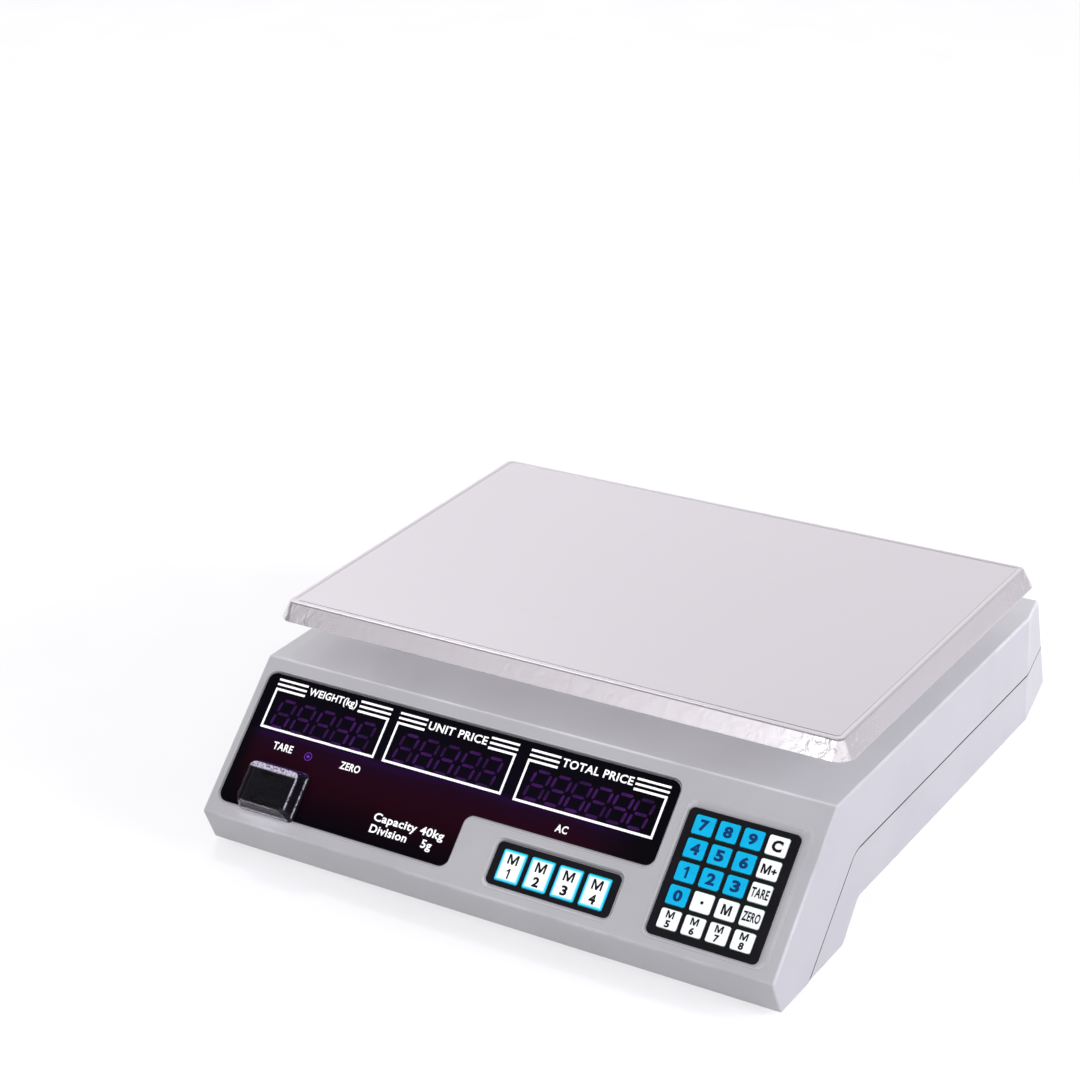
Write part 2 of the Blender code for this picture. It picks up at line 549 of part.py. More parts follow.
def power_switch(panel):
    """Rocker switch in a black frame, under a clear splash cover that stands clear of it."""
    frame = prism(rectangle(*around((0, 0), SWITCH_BODY)), -SWITCH_BODY_DEPTH, SWITCH_FLANGE_TOP)
    body = node("switch_body", frame, "black_plastic", panel, (*SWITCH_CENTRE, 0))
    flange = prism(rounded(around((0, 0), SWITCH_FLANGE), 2 * MM, 2), TOUCH_GAP, SWITCH_FLANGE_TOP)
    join(body, flange, panel, (*SWITCH_CENTRE, 0))
    mouth = around((0, 0), [side + 2 * FIT_GAP for side in ROCKER])
    well = prism(rectangle(*mouth), -SWITCH_WELL_DEPTH, THROUGH_PANEL[1])
    cut(body, well, panel, (*SWITCH_CENTRE, 0))
    # The rocker's face is a shallow V about its pin, and one half lies level with the frame.
    half_long, half_wide = ROCKER[0] / 2, ROCKER[1] / 2
    crest = ROCKER_FACE + half_long * math.tan(ROCKER_TILT)
    section = [(-half_long, ROCKER_SHOULDER), (0, ROCKER_KEEL), (half_long, ROCKER_SHOULDER),
               (half_long, crest), (0, ROCKER_FACE), (-half_long, crest)]
    rocker = bmesh.new()
    ends = [[rocker.verts.new((u, v, w)) for u, w in section] for v in (-half_wide, half_wide)]
    rocker.faces.new(ends[0])
    rocker.faces.new(ends[1])
    for i in range(len(section)):
        j = (i + 1) % len(section)
        rocker.faces.new((ends[0][i], ends[0][j], ends[1][j], ends[1][i]))
    made = node("power_rocker", rocker, "black_plastic", panel, (*SWITCH_CENTRE, 0))
    made.rotation_euler = (0, ROCKER_TILT, 0)
    # Clear cover: a box with sloping sides, open underneath, on the frame's flange.
    low = SWITCH_FLANGE_TOP + TOUCH_GAP
    high = low + COVER_HEIGHT
    cover = bmesh.new()
    base, crown = SWITCH_FLANGE, [side - COVER_TAPER for side in SWITCH_FLANGE]
    loops = []
    for size, inset, w in ((base, 0, low), (crown, 0, high), (crown, COVER_WALL, high - COVER_WALL),
                           (base, COVER_WALL, low)):
        rect = grown(around((0, 0), size), -inset)
        loops.append([cover.verts.new((*point, w)) for point in rounded(rect, COVER_CORNER, 2)])
    cover.faces.new(loops[1])
    cover.faces.new(loops[2])
    for outer, inner in ((loops[0], loops[1]), (loops[2], loops[3]), (loops[3], loops[0])):
        for i in range(len(outer)):
            j = (i + 1) % len(outer)
            cover.faces.new((outer[i], outer[j], inner[j], inner[i]))
    node("switch_cover", cover, "clear_plastic", panel, (*SWITCH_CENTRE, 0))


def key(name, size, centre, panel, look):
    """One key of the film keypad with its plunger, which travels straight into the panel."""
    top = KEY_PROUD - (RECESS - TOUCH_GAP - OVERLAY_THICKNESS)
    outline = rounded(around((0, 0), size), 1 * MM, 1)
    node(name, prism(outline, -KEY_THICKNESS, 0), look, panel, (*centre, top))


def keypad(name, pad, keys, board_name, panel):
    """A printed overlay with an opening for each key, the keys, and the board under them."""
    low = TOUCH_GAP - RECESS
    overlay = node(name, prism(rounded(pad, PAD_CORNER), low, low + OVERLAY_THICKNESS), "black_film", panel)
    openings = [prism(rectangle(*grown(around(centre, size), KEY_GAP)), -5 * MM, 5 * MM)
                for _, size, centre, _ in keys]
    cut(overlay, merged(openings), panel)
    for key_name, size, centre, look in keys:
        key(key_name, size, centre, panel, look)
    low_corner, high_corner = grown(pad, -0.5 * MM)
    node(board_name, block((*low_corner, -WALL - FIT_GAP - BOARD), (*high_corner, -WALL - FIT_GAP)),
         "circuit_board", panel)


def keypads(panel):
    """The twenty-key price keypad and the strip of four memory keys."""
    keys = []
    for row, names in enumerate(KEY_ROWS):
        for column, name in enumerate(names):
            centre = (FIRST_KEY[0] + column * KEY_PITCH[0], FIRST_KEY[1] - row * KEY_PITCH[1])
            keys.append((name, KEY_SIZE, centre, "blue_film" if name in BLUE_KEYS else "white_film"))
    keypad("keypad_overlay", MAIN_PAD, keys, "keypad_board", panel)
    keys = []
    for column, name in enumerate(MEMORY_KEYS):
        centre = (FIRST_MEMORY_KEY[0] + column * MEMORY_PITCH, FIRST_MEMORY_KEY[1])
        keys.append((name, MEMORY_KEY_SIZE, centre, "white_film"))
    keypad("memory_keypad_overlay", MEMORY_PAD, keys, "memory_keypad_board", panel)


def customer_display(customer_side):
    """Window in the rear wall with the board and digits that the customer reads."""
    window = prism(rounded(CUSTOMER_WINDOW, PAD_CORNER), -WINDOW_THICKNESS, 0)
    node("customer_window", window, "smoked_acrylic", customer_side)
    low, high = grown(CUSTOMER_WINDOW, -4 * MM)
    board = node("customer_display_board", block((*low, -7 * MM), (*high, -7 * MM + BOARD)),
                 "circuit_board", customer_side)
    digits = block((low[0] + 6 * MM, low[1] + 2 * MM, -6 * MM),
                   (high[0] - 6 * MM, high[1] - 2 * MM, READOUT_W[1]))
    join(board, digits, customer_side)


def electrics():
    """Main board, transformer, battery and the mains socket in the left wall."""
    def standing(box, low, high):
        return prism(rectangle(*box), INNER_FLOOR_Z + low, INNER_FLOOR_Z + high)

    board_top = MAIN_BOARD_RISE + BOARD
    board = node("main_board", standing(MAIN_BOARD, MAIN_BOARD_RISE, board_top), "circuit_board")
    on_board = board_top - SUNK / 2
    can = prism(circle(CAPACITOR_RADIUS, 14, CAPACITOR_PLACE), INNER_FLOOR_Z + on_board,
                INNER_FLOOR_Z + on_board + CAPACITOR_HEIGHT)
    parts = [standing(PROCESSOR, on_board, on_board + PROCESSOR_HEIGHT),
             standing(HEAT_SINK, on_board, on_board + HEAT_SINK_HEIGHT), can]
    join(board, merged(parts))
    core = node("transformer", standing(CORE, TOUCH_GAP, CORE_HEIGHT), "core_steel")
    join(core, standing(WINDING, *WINDING_HEIGHTS))
    cell = node("battery", standing(BATTERY, TOUCH_GAP, BATTERY_HEIGHT), "battery_case")
    posts = [standing(around((x, TERMINAL_Y), TERMINAL_SIZE), BATTERY_HEIGHT - SUNK, TERMINAL_HEIGHT)
             for x in TERMINAL_X]
    join(cell, merged(posts))
    mains_inlet()


def mains_inlet():
    """Snap-in mains socket: flange on the wall, deep recess, and three flat pins."""
    face_x = -CASE_HALF_WIDTH - INLET_PROUD
    inner_x = -CASE_HALF_WIDTH + INLET_DEPTH
    centre = (INLET_Y, INLET_Z)
    inlet = node("mains_inlet", prism(rectangle(*around(centre, INLET_BODY)), face_x, inner_x, axis="X"),
                 "black_plastic")
    join(inlet, prism(rounded(around(centre, INLET_FLANGE), 2 * MM, 2), face_x, -CASE_HALF_WIDTH - TOUCH_GAP,
                      axis="X"))
    socket = rectangle(*around(centre, INLET_SOCKET))
    cut(inlet, prism(socket, face_x - 5 * MM, inner_x - INLET_FLOOR, axis="X"))
    pins = []
    for dy, dz in PIN_OFFSETS:
        pin = around((INLET_Y + dy, INLET_Z + dz), PIN_SIZE)
        pins.append(prism(rectangle(*pin), face_x + PIN_SETBACK, inner_x - INLET_FLOOR / 2, axis="X"))
    join(inlet, merged(pins))


def main():
    clear_scene()
    rise = (0, DECK_FRONT[0] - LIP_TOP[0], DECK_FRONT[1] - LIP_TOP[1])
    panel = sloping_frame("panel_frame", (0, *LIP_TOP), (1, 0, 0), rise)
    rear_rise = (0, DECK_REAR[0] - REAR_BOTTOM[0], DECK_REAR[1] - REAR_BOTTOM[1])
    customer_side = sloping_frame("customer_frame", (0, *seam_rear()), (-1, 0, 0), rear_rise)
    top_housing(panel, customer_side)
    bottom_housing()
    levelling_feet()
    load_cell()
    pan_support()
    weighing_pan()
    display(panel)
    power_switch(panel)
    keypads(panel)
    customer_display(customer_side)
    electrics()


main()
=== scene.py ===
import math

import bmesh
import bpy
from mathutils import Matrix, Vector


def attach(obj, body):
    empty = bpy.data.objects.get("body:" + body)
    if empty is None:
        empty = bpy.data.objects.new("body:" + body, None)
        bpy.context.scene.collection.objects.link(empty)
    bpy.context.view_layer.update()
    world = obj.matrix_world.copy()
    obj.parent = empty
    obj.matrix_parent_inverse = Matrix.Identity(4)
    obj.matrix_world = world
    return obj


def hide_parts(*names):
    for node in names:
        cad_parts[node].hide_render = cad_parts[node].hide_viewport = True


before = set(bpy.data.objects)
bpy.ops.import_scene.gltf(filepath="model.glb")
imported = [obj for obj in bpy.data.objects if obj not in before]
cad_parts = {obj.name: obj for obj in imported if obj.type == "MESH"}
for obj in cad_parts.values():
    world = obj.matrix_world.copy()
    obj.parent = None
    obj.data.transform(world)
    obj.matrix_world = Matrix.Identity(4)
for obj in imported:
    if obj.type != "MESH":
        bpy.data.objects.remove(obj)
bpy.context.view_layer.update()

# Lower case shell: floor, low side walls and rear end, with the bosses that the feet screw into.
# Injection-moulded ABS with a fine spark-eroded skin, so it is satin and has a faint grain.
# It closes against the upper shell on a parting line that follows the control panel's slope.
# Every shape in this file is drawn in millimetres, and piece() turns it to metres.
WALL = 2.6
HALF_WIDTH = 169.5
LIP_BOTTOM, LIP_TOP = Vector((-164, 2.5)), Vector((-171.5, 21.5))
DECK_FRONT, DECK_REAR = Vector((-105.5, 84)), Vector((146.5, 84))
REAR_BOTTOM = Vector((171.5, 21))
STEP_TOP, STEP_BOTTOM = Vector((-82.5, 21)), Vector((-99, 2.5))
PARTING_FRONT = Vector((-86.5, 49.5))
PARTING_REAR = REAR_BOTTOM.lerp(DECK_REAR,
                                (PARTING_FRONT.y - REAR_BOTTOM.y) / (DECK_REAR.y - REAR_BOTTOM.y))
PARTING_FOOT = PARTING_FRONT + (LIP_TOP - DECK_FRONT) * (47 / 62.5)
PARTING_GAP = 0.5
KINK_RADIUS, HEEL_RADIUS, DECK_RADIUS = 16, 6, 2.4
CREASE_Y, REAR_TAPER = 124.5, 0.2
EDGE_RADIUS, PARTING_EDGE = 1.5, 0.25
FILLET_STEPS, SHARPEST_PLAIN_TURN = 6, math.radians(10)
PAN_Y = 17.5


def linear(code):
    """An sRGB hex colour as the linear one that shaders take."""
    channels = [int(code[i:i + 2], 16) / 255 for i in (1, 3, 5)]
    return (*[c / 12.92 if c <= 0.04045 else ((c + 0.055) / 1.055) ** 2.4 for c in channels], 1)


def add(tree, kind, sockets=None, stops=None, **settings):
    """Add a shader node. A socket takes a value or another node's output; stops are a ramp's colours."""
    made = tree.nodes.new("ShaderNode" + kind)
    for name, value in settings.items():
        setattr(made, name, value)
    for socket, value in (sockets or {}).items():
        if isinstance(value, bpy.types.NodeSocket):
            tree.links.new(value, made.inputs[socket])
        else:
            made.inputs[socket].default_value = value
    if stops:
        ramp = made.color_ramp
        ramp.elements.remove(ramp.elements[1])
        ramp.elements[0].position, ramp.elements[0].color = stops[0][0], linear(stops[0][1])
        for place, colour in stops[1:]:
            ramp.elements.new(place).color = linear(colour)
    return made


def finish(name, sockets):
    """A new material for a finish, with values on its shader's own sockets."""
    made = bpy.data.materials.new(name)
    made.use_nodes = True
    shader = made.node_tree.nodes["Principled BSDF"]
    for socket, value in sockets.items():
        shader.inputs[socket].default_value = value
    return made, made.node_tree, shader


def worked(shape, *steps):
    """Run modifiers on a shape and return what they leave. A shape among the settings is their object."""
    scratch = []

    def held(form):
        mesh = bpy.data.meshes.new("rough")
        form.to_mesh(mesh)
        form.free()
        scratch.append(bpy.data.objects.new("rough", mesh))
        bpy.context.scene.collection.objects.link(scratch[-1])
        return scratch[-1]

    bmesh.ops.recalc_face_normals(shape, faces=shape.faces)
    rough = held(shape)
    for kind, settings in steps:
        step = rough.modifiers.new(kind, kind)
        for name, value in settings.items():
            setattr(step, name, held(value) if isinstance(value, bmesh.types.BMesh) else value)
    result = bmesh.new()
    result.from_object(rough, bpy.context.evaluated_depsgraph_get())
    for helper in scratch:
        mesh = helper.data
        bpy.data.objects.remove(helper)
        bpy.data.meshes.remove(mesh)
    return result


def less(shape):
    """The step that cuts a shape away."""
    bmesh.ops.recalc_face_normals(shape, faces=shape.faces)
    return "BOOLEAN", {"operation": "DIFFERENCE", "solver": "EXACT", "object": shape}


def plus(shape):
    """The step that joins a shape on."""
    bmesh.ops.recalc_face_normals(shape, faces=shape.faces)
    return "BOOLEAN", {"operation": "UNION", "solver": "EXACT", "object": shape}


def piece(name, shape, look, body, stands_for=(), at=Matrix.Identity(4), crease=32):
    """Turn a shape in millimetres into a piece that rides on a body and stands for CAD nodes."""
    bmesh.ops.recalc_face_normals(shape, faces=shape.faces)
    shape.transform(Matrix.Scale(0.001, 4))
    mesh = bpy.data.meshes.new(name)
    shape.to_mesh(mesh)
    shape.free()
    mesh.materials.clear()
    mesh.materials.append(look)
    mesh.shade_smooth()
    mesh.set_sharp_from_angle(angle=math.radians(crease))
    made = bpy.data.objects.new(name, mesh)
    bpy.context.scene.collection.objects.link(made)
    made.matrix_world = at
    made.modifiers.new("even_shading", "WEIGHTED_NORMAL").keep_sharp = True
    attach(made, body)
    if stands_for:
        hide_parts(*stands_for)
    return made


def inset(corners, distances):
    """Move each edge of an anticlockwise outline inwards by its own distance."""
    lines = []
    for i, distance in enumerate(distances):
        along = (corners[(i + 1) % len(corners)] - corners[i]).normalized()
        lines.append((corners[i] + Vector((-along.y, along.x)) * distance, along))
    moved = []
    for i, (point, along) in enumerate(lines):
        before, way = lines[i - 1]
        gap = point - before
        moved.append(before + way * (gap.cross(along) / way.cross(along)))
    return moved


def fillet(before, corner, after, radius, steps):
    """The points of an arc that rounds one corner of an outline."""
    into, away = (before - corner).normalized(), (after - corner).normalized()
    half = into.angle(away) / 2
    centre = corner + (into + away).normalized() * (radius / math.sin(half))
    first = corner + into * (radius / math.tan(half)) - centre
    last = corner + away * (radius / math.tan(half)) - centre
    sweep = math.atan2(first.cross(last), first.dot(last))
    return [centre + Matrix.Rotation(sweep * k / steps, 2) @ first for k in range(steps + 1)]


def case_slice(corners, distances, half, radii=None, parting=()):
    """A slice across the case from its side outline, with both rear corners cut off slanting.

    Its sharp edges get a bevel weight, and those on a parting edge a smaller one.
    """
    tight = inset(corners, distances)
    outline, flags = [], []
    for i, corner in enumerate(tight):
        before, after = (i - 1) % len(tight) in parting, i in parting
        arc = [corner]
        if radii and i in radii:
            arc = fillet(tight[i - 1], corner, tight[(i + 1) % len(tight)], radii[i], FILLET_STEPS)
        outline += arc
        flags += [before and after] * (len(arc) - 1) + [after]
    shape = bmesh.new()
    on_parting = shape.faces.layers.int.new("parting")
    weight = shape.edges.layers.float.new("bevel_weight_edge")
    ends = [[shape.verts.new((x, *point)) for point in outline] for x in (-half, half)]
    shape.faces.new(ends[0])
    shape.faces.new(ends[1])
    for i, flag in enumerate(flags):
        j = (i + 1) % len(flags)
        shape.faces.new((ends[0][i], ends[0][j], ends[1][j], ends[1][i]))[on_parting] = flag
    for side in (-1, 1):
        facing = Vector((side, REAR_TAPER, 0)).normalized()
        crease = Vector((side * HALF_WIDTH, CREASE_Y, 0)) - facing * (HALF_WIDTH - half)
        bmesh.ops.bisect_plane(shape, geom=shape.verts[:] + shape.edges[:] + shape.faces[:],
                               plane_co=crease, plane_no=facing, clear_outer=True)
        bmesh.ops.holes_fill(shape, edges=[edge for edge in shape.edges if edge.is_boundary])
    bmesh.ops.recalc_face_normals(shape, faces=shape.faces)
    for edge in shape.edges:
        if edge.calc_face_angle(0) > SHARPEST_PLAIN_TURN:
            edge[weight] = PARTING_EDGE if any(face[on_parting] for face in edge.link_faces) else 1
    return shape


def lofted(rings, joined=False):
    """A closed solid through rings of equally many points. It has two caps, or else its ends are joined."""
    shape = bmesh.new()
    loops = [[shape.verts.new(point) for point in ring] for ring in rings]
    if not joined:
        shape.faces.new(loops[0])
        shape.faces.new(loops[-1])
    for lower, upper in zip(loops, loops[1:] + (loops[:1] if joined else [])):
        for i in range(len(lower)):
            j = (i + 1) % len(lower)
            shape.faces.new((lower[i], lower[j], upper[j], upper[i]))
    return shape


def ring(radius, z, centre=(0, 0), sides=32):
    """A level circle of points."""
    return [(centre[0] + radius * math.cos(math.tau * k / sides),
             centre[1] + radius * math.sin(math.tau * k / sides), z) for k in range(sides)]


def slab(low, high):
    """A rectangular block between two corners."""
    flat = ((low[0], low[1]), (high[0], low[1]), (high[0], high[1]), (low[0], high[1]))
    return lofted([[(*point, z) for point in flat] for z in (low[2], high[2])])


def together(shapes):
    """Several shapes in one."""
    whole = bmesh.new()
    for shape in shapes:
        part = bpy.data.meshes.new("part")
        shape.to_mesh(part)
        shape.free()
        whole.from_mesh(part)
        bpy.data.meshes.remove(part)
    bmesh.ops.recalc_face_normals(whole, faces=whole.faces)
    return whole


# Light grey ABS: the skin's grain is about 0.3 mm across and is drawn at 0.9 mm so that it shows.
# A mark on the points makes rounded edges glossier and paints them paler as a highlight, and paints the parting
# line's faces dark as the shade in the gap between the shells.
case_abs, tree, shader = finish("moulded_abs_light_grey", {"IOR": 1.54, "Specular IOR Level": 0.5})
spot = add(tree, "TexCoord")
clouds = add(tree, "TexNoise", {"Vector": spot.outputs["Object"], "Scale": 1 / 0.045, "Detail": 3})
tone = add(tree, "ValToRGB", {"Fac": clouds.outputs["Fac"]}, [(0.3, "#A09FA3"), (0.7, "#A5A4A8")])
grain = add(tree, "TexNoise", {"Vector": spot.outputs["Object"], "Scale": 1 / 0.0009, "Detail": 2})
wear = add(tree, "TexNoise", {"Vector": spot.outputs["Object"], "Scale": 1 / 0.018, "Detail": 2})
gloss = add(tree, "MapRange", {"Value": wear.outputs["Fac"], "From Min": 0.3, "From Max": 0.7,
                               "To Min": 0.29, "To Max": 0.32})
highlight_and_shade_mark = add(tree, "Attribute", attribute_name="edge_highlight_seam_shade")
uneven = add(tree, "MapRange", {"Value": clouds.outputs["Fac"], "From Min": 0.35, "From Max": 0.65,
                                "To Min": 0.04, "To Max": 0.30})
painted_highlight = add(tree, "Math", {0: highlight_and_shade_mark.outputs["Fac"], 1: uneven.outputs["Result"]}, operation="MULTIPLY")
# Rounded edges are mixed paler here: a painted highlight.
highlit_edge_tone = add(tree, "Mix", {"Factor": painted_highlight.outputs["Value"], 6: tone.outputs["Color"], 7: linear("#E2E2E6")},
             data_type="RGBA")
# The parting line's faces are mixed dark here: painted shade in the gap between the shells.
painted_seam_shade = add(tree, "MapRange", {"Value": highlight_and_shade_mark.outputs["Fac"], "From Min": 0, "From Max": -1})
seam_shaded_tone = add(tree, "Mix", {"Factor": painted_seam_shade.outputs["Result"], 6: highlit_edge_tone.outputs[2], 7: linear("#2C2C2F")},
             data_type="RGBA")
polish = add(tree, "Mix", {"Factor": painted_highlight.outputs["Value"], 2: gloss.outputs["Result"], 3: 0.14},
             data_type="FLOAT")
skin = add(tree, "Bump", {"Height": grain.outputs["Fac"], "Strength": 0.10, "Distance": 0.0002})
tree.links.new(seam_shaded_tone.outputs[2], shader.inputs["Base Color"])
tree.links.new(polish.outputs[0], shader.inputs["Roughness"])
tree.links.new(skin.outputs["Normal"], shader.inputs["Normal"])


def mark_highlights_and_seam_shade(shape, seam, narrowest=0.17, widest=0.9):
    """Mark rounded edges with 1, for a painted highlight, and the parting line's faces with -1, for painted
    shade.

    The points of a rounded edge lie wholly among narrow strips. The parting line's faces lie within seam of it.
    """
    line = [PARTING_REAR, *fillet(PARTING_REAR, PARTING_FRONT, PARTING_FOOT, KINK_RADIUS, FILLET_STEPS),
            PARTING_FOOT]
    mark = shape.verts.layers.float.new("edge_highlight_seam_shade")
    for vert in shape.verts:
        widths = [2 * face.calc_area() / face.calc_perimeter() for face in vert.link_faces]
        vert[mark] = min(widths) > narrowest and max(widths) < widest
        point = vert.co.yz
        for start, end in zip(line, line[1:]):
            share = min(max((point - start).dot(end - start) / (end - start).length_squared, 0), 1)
            # -1 marks the parting line's faces, for painted shade.
            if (point - start.lerp(end, share)).length < seam:
                vert[mark] = -1
    return shape


soft_edges = ("BEVEL", {"width": EDGE_RADIUS, "segments": 4, "limit_method": "WEIGHT",
                        "use_clamp_overlap": False})
lower_side = [PARTING_FOOT, STEP_BOTTOM, STEP_TOP, REAR_BOTTOM, PARTING_REAR, PARTING_FRONT]
shell = worked(case_slice(lower_side, [0, 0, 0, 0, PARTING_GAP, PARTING_GAP], HALF_WIDTH,
                          {1: HEEL_RADIUS, 2: 4, 5: KINK_RADIUS}, (4, 5)), soft_edges)


def post(radius, low, high, x, y):
    """An upright cylinder."""
    return lofted([ring(radius, z, (x, y)) for z in (low, high)])


FLOOR_Z, FOOT_X, FRONT_FOOT_Y, REAR_FOOT_Y, STUD_HOLE = 22.3, 130, -118, 135, 4.4
STOP_X, CELL_BOLT_X, CELL_BOLT_HOLE = 28, (-57, -43), 3.4
CELL_SEAT = (-65, PAN_Y - 15, FLOOR_Z), (-33, PAN_Y + 15, 49.7)
FRONT_FLOOR = (-166.5, -160, 2.8), (166.5, -128, 4.8)
INLET_HOLE = (-174, 98.1, 26.1), (-161, 125.9, 45.9)
OPEN_TOP, SEAM_REACH = -5, 0.12
bosses = [slab(*CELL_SEAT), post(8, FLOOR_Z, 36, STOP_X, PAN_Y), slab(*FRONT_FLOOR)]
holes, pockets = [post(STUD_HOLE, 26, 40, STOP_X, PAN_Y)], []
for x in (-FOOT_X, FOOT_X):
    bosses += [post(14, 3.8, 24, x, FRONT_FOOT_Y), post(13, 9, 40, x, REAR_FOOT_Y)]
    pockets.append(post(11.8, 0, 8.8, x, FRONT_FOOT_Y))
    holes += [post(STUD_HOLE, 0, 30, x, FRONT_FOOT_Y), post(STUD_HOLE, 0, 45, x, REAR_FOOT_Y)]
holes += [post(CELL_BOLT_HOLE, 36, 60, x, PAN_Y) for x in CELL_BOLT_X]
shell = worked(shell, less(case_slice(lower_side, [WALL] * 4 + [OPEN_TOP] * 2, HALF_WIDTH - WALL)),
               plus(together(bosses)), less(together(pockets)), less(together(holes)), less(slab(*INLET_HOLE)))
piece("lower_case", mark_highlights_and_seam_shade(shell, PARTING_GAP + SEAM_REACH), case_abs, "housing",
      ["bottom_housing"])

# Levelling feet: a moulded rubber foot with a fluted grip, on a zinc-plated steel stud.
# The stud screws into the corner's boss. The front two sit in pockets, the rear two stand clear.
# Rubber is dull and slightly dusty; zinc plating is bright with a faint mottled grain.


def patterned(name, sockets, pattern, tones, gloss=None, relief=None, grain=None):
    """A finish whose tones, and gloss where it has a range, follow a pattern, with a slight relief.

    A pattern is a kind of texture, its size in millimetres and its other sockets. Relief is a strength and a
    height in millimetres. A grain makes the relief, and the pattern does where there is no grain.
    """
    made, tree, shader = finish(name, sockets)
    spot = add(tree, "TexCoord")
    fields = []
    for kind, size, others in [pattern] + ([grain] if grain else []):
        field = add(tree, kind, {"Vector": spot.outputs["Object"], "Scale": 1000 / size, **others})
        fields.append(field.outputs["Distance" if kind == "TexVoronoi" else "Fac"])
    tone = add(tree, "ValToRGB", {"Fac": fields[0]}, tones)
    tree.links.new(tone.outputs["Color"], shader.inputs["Base Color"])
    if gloss:
        spread = add(tree, "MapRange", {"Value": fields[0], "To Min": gloss[0], "To Max": gloss[1]})
        tree.links.new(spread.outputs["Result"], shader.inputs["Roughness"])
    if relief:
        skin = add(tree, "Bump", {"Height": fields[-1], "Strength": relief[0], "Distance": relief[1] / 1000})
        tree.links.new(skin.outputs["Normal"], shader.inputs["Normal"])
    return made


rubber = patterned("moulded_rubber_black", {"IOR": 1.52, "Specular IOR Level": 0.3},
                   ("TexNoise", 6, {"Detail": 5}), [(0.35, "#1A1A1B"), (0.75, "#2B2A2A")],
                   (0.65, 0.85), (0.25, 0.3))
zinc = patterned("zinc_plated_steel", {"Metallic": 1}, ("TexVoronoi", 1.2, {}),
                 [(0, "#C9CBC8"), (0.8, "#B4B6B3")], (0.24, 0.40))

# The pad's outline: radius, height, and depth of the flutes there.
PAD_OUTLINE = ((9.2, 0, 0), (10.2, 0.4, 0), (11, 1.4, 0.5), (11, 4.6, 0.5), (10.4, 5.7, 0.2), (9.4, 6.0, 0),
               (4.4, 6.0, 0))
FLUTES, PAD_SIDES = 18, 18 * 6
STUD_START, STUD_STEP, STUD_CORE, THREAD_DEPTH, THREAD_PITCH, THREAD_SIDES = 6.1, 0.25, 3.5, 0.9, 1.25, 20


def loop_of(radii, z):
    """A level ring of points, each at its own radius."""
    return [(radius * math.cos(math.tau * k / len(radii)), radius * math.sin(math.tau * k / len(radii)), z)
            for k, radius in enumerate(radii)]


for place, y, reach in (("front", FRONT_FOOT_Y, 20), ("rear", REAR_FOOT_Y, 36)):
    for side, x in (("left", -FOOT_X), ("right", FOOT_X)):
        body = f"foot_{place}_{side}"
        at = Matrix.Translation((x / 1000, y / 1000, 0))
        pad = [loop_of([radius - depth * math.cos(math.tau * k * FLUTES / PAD_SIDES) ** 2
                        for k in range(PAD_SIDES)], z) for radius, z, depth in PAD_OUTLINE]
        piece(f"foot_pad_{place}_{side}", lofted(pad), rubber, body,
              [f"levelling_foot_{place}_{side}"], at)
        stud = []
        for k in range(int((reach - STUD_START - 0.1) / STUD_STEP) + 1):
            turns = k * STUD_STEP / THREAD_PITCH
            stud.append(loop_of([STUD_CORE + THREAD_DEPTH * abs((turns - step / THREAD_SIDES) % 1 - 0.5)
                                 for step in range(THREAD_SIDES)], STUD_START + k * STUD_STEP))
        piece(f"foot_stud_{place}_{side}", lofted(stud), zinc, body, (), at)

# Load cell: a machined aluminium beam that bends when loaded, bolted down at one end.
# Two socket screws hold it to the lower shell, two more carry the pan support on its free end.
# A stop screw under the free end takes an overload. Milled faces show fine parallel tool marks.
milled = patterned("milled_aluminium", {"Metallic": 1}, ("TexWave", 4, {"Distortion": 0.6, "Detail": 2}),
                   [(0, "#C6C7C9"), (1, "#D4D5D7")], (0.28, 0.38), (0.08, 0.2))


def dressed(name, look, radius=0.4):
    """Give a CAD node that stays its finish, and break its sharp edges."""
    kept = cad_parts[name]
    for socket in kept.material_slots:
        socket.material = look
    kept.modifiers.new("joined", "WELD").merge_threshold = 1e-6
    broken = kept.modifiers.new("broken_edges", "BEVEL")
    broken.width, broken.segments, broken.angle_limit = radius / 1000, 2, math.radians(40)
    broken.use_clamp_overlap = True


dressed("load_cell", milled)
for name in ("cell_bolt_fixed_1", "cell_bolt_fixed_2", "cell_bolt_free_1", "cell_bolt_free_2",
             "overload_stop_screw"):
    dressed(name, zinc, 0.3)

# Pan support: a die-cast aluminium cross on the load cell's free end, through a hole in the deck.
# Four rubber pads on its arms carry the pan and let it be lifted off for cleaning.
# Die casting leaves a dull, finely pitted grey skin.
cast, tree, shader = finish("die_cast_aluminium", {"Metallic": 1})
spot = add(tree, "TexCoord")
pits = add(tree, "TexNoise", {"Vector": spot.outputs["Object"], "Scale": 1 / 0.0016, "Detail": 4})
flow = add(tree, "TexNoise", {"Vector": spot.outputs["Object"], "Scale": 1 / 0.03, "Detail": 3,
                              "Distortion": 1})
tone = add(tree, "ValToRGB", {"Fac": flow.outputs["Fac"]}, [(0.3, "#9C9EA0"), (0.7, "#B2B3B5")])
gloss = add(tree, "MapRange", {"Value": pits.outputs["Fac"], "To Min": 0.42, "To Max": 0.60})
skin = add(tree, "Bump", {"Height": pits.outputs["Fac"], "Strength": 0.3, "Distance": 0.0002})
tree.links.new(tone.outputs["Color"], shader.inputs["Base Color"])
tree.links.new(gloss.outputs["Result"], shader.inputs["Roughness"])
tree.links.new(skin.outputs["Normal"], shader.inputs["Normal"])
dressed("pan_support", cast, 1.2)
for name in ("pan_pad_front_left", "pan_pad_front_right", "pan_pad_rear_left", "pan_pad_rear_right"):
    dressed(name, rubber, 0.4)

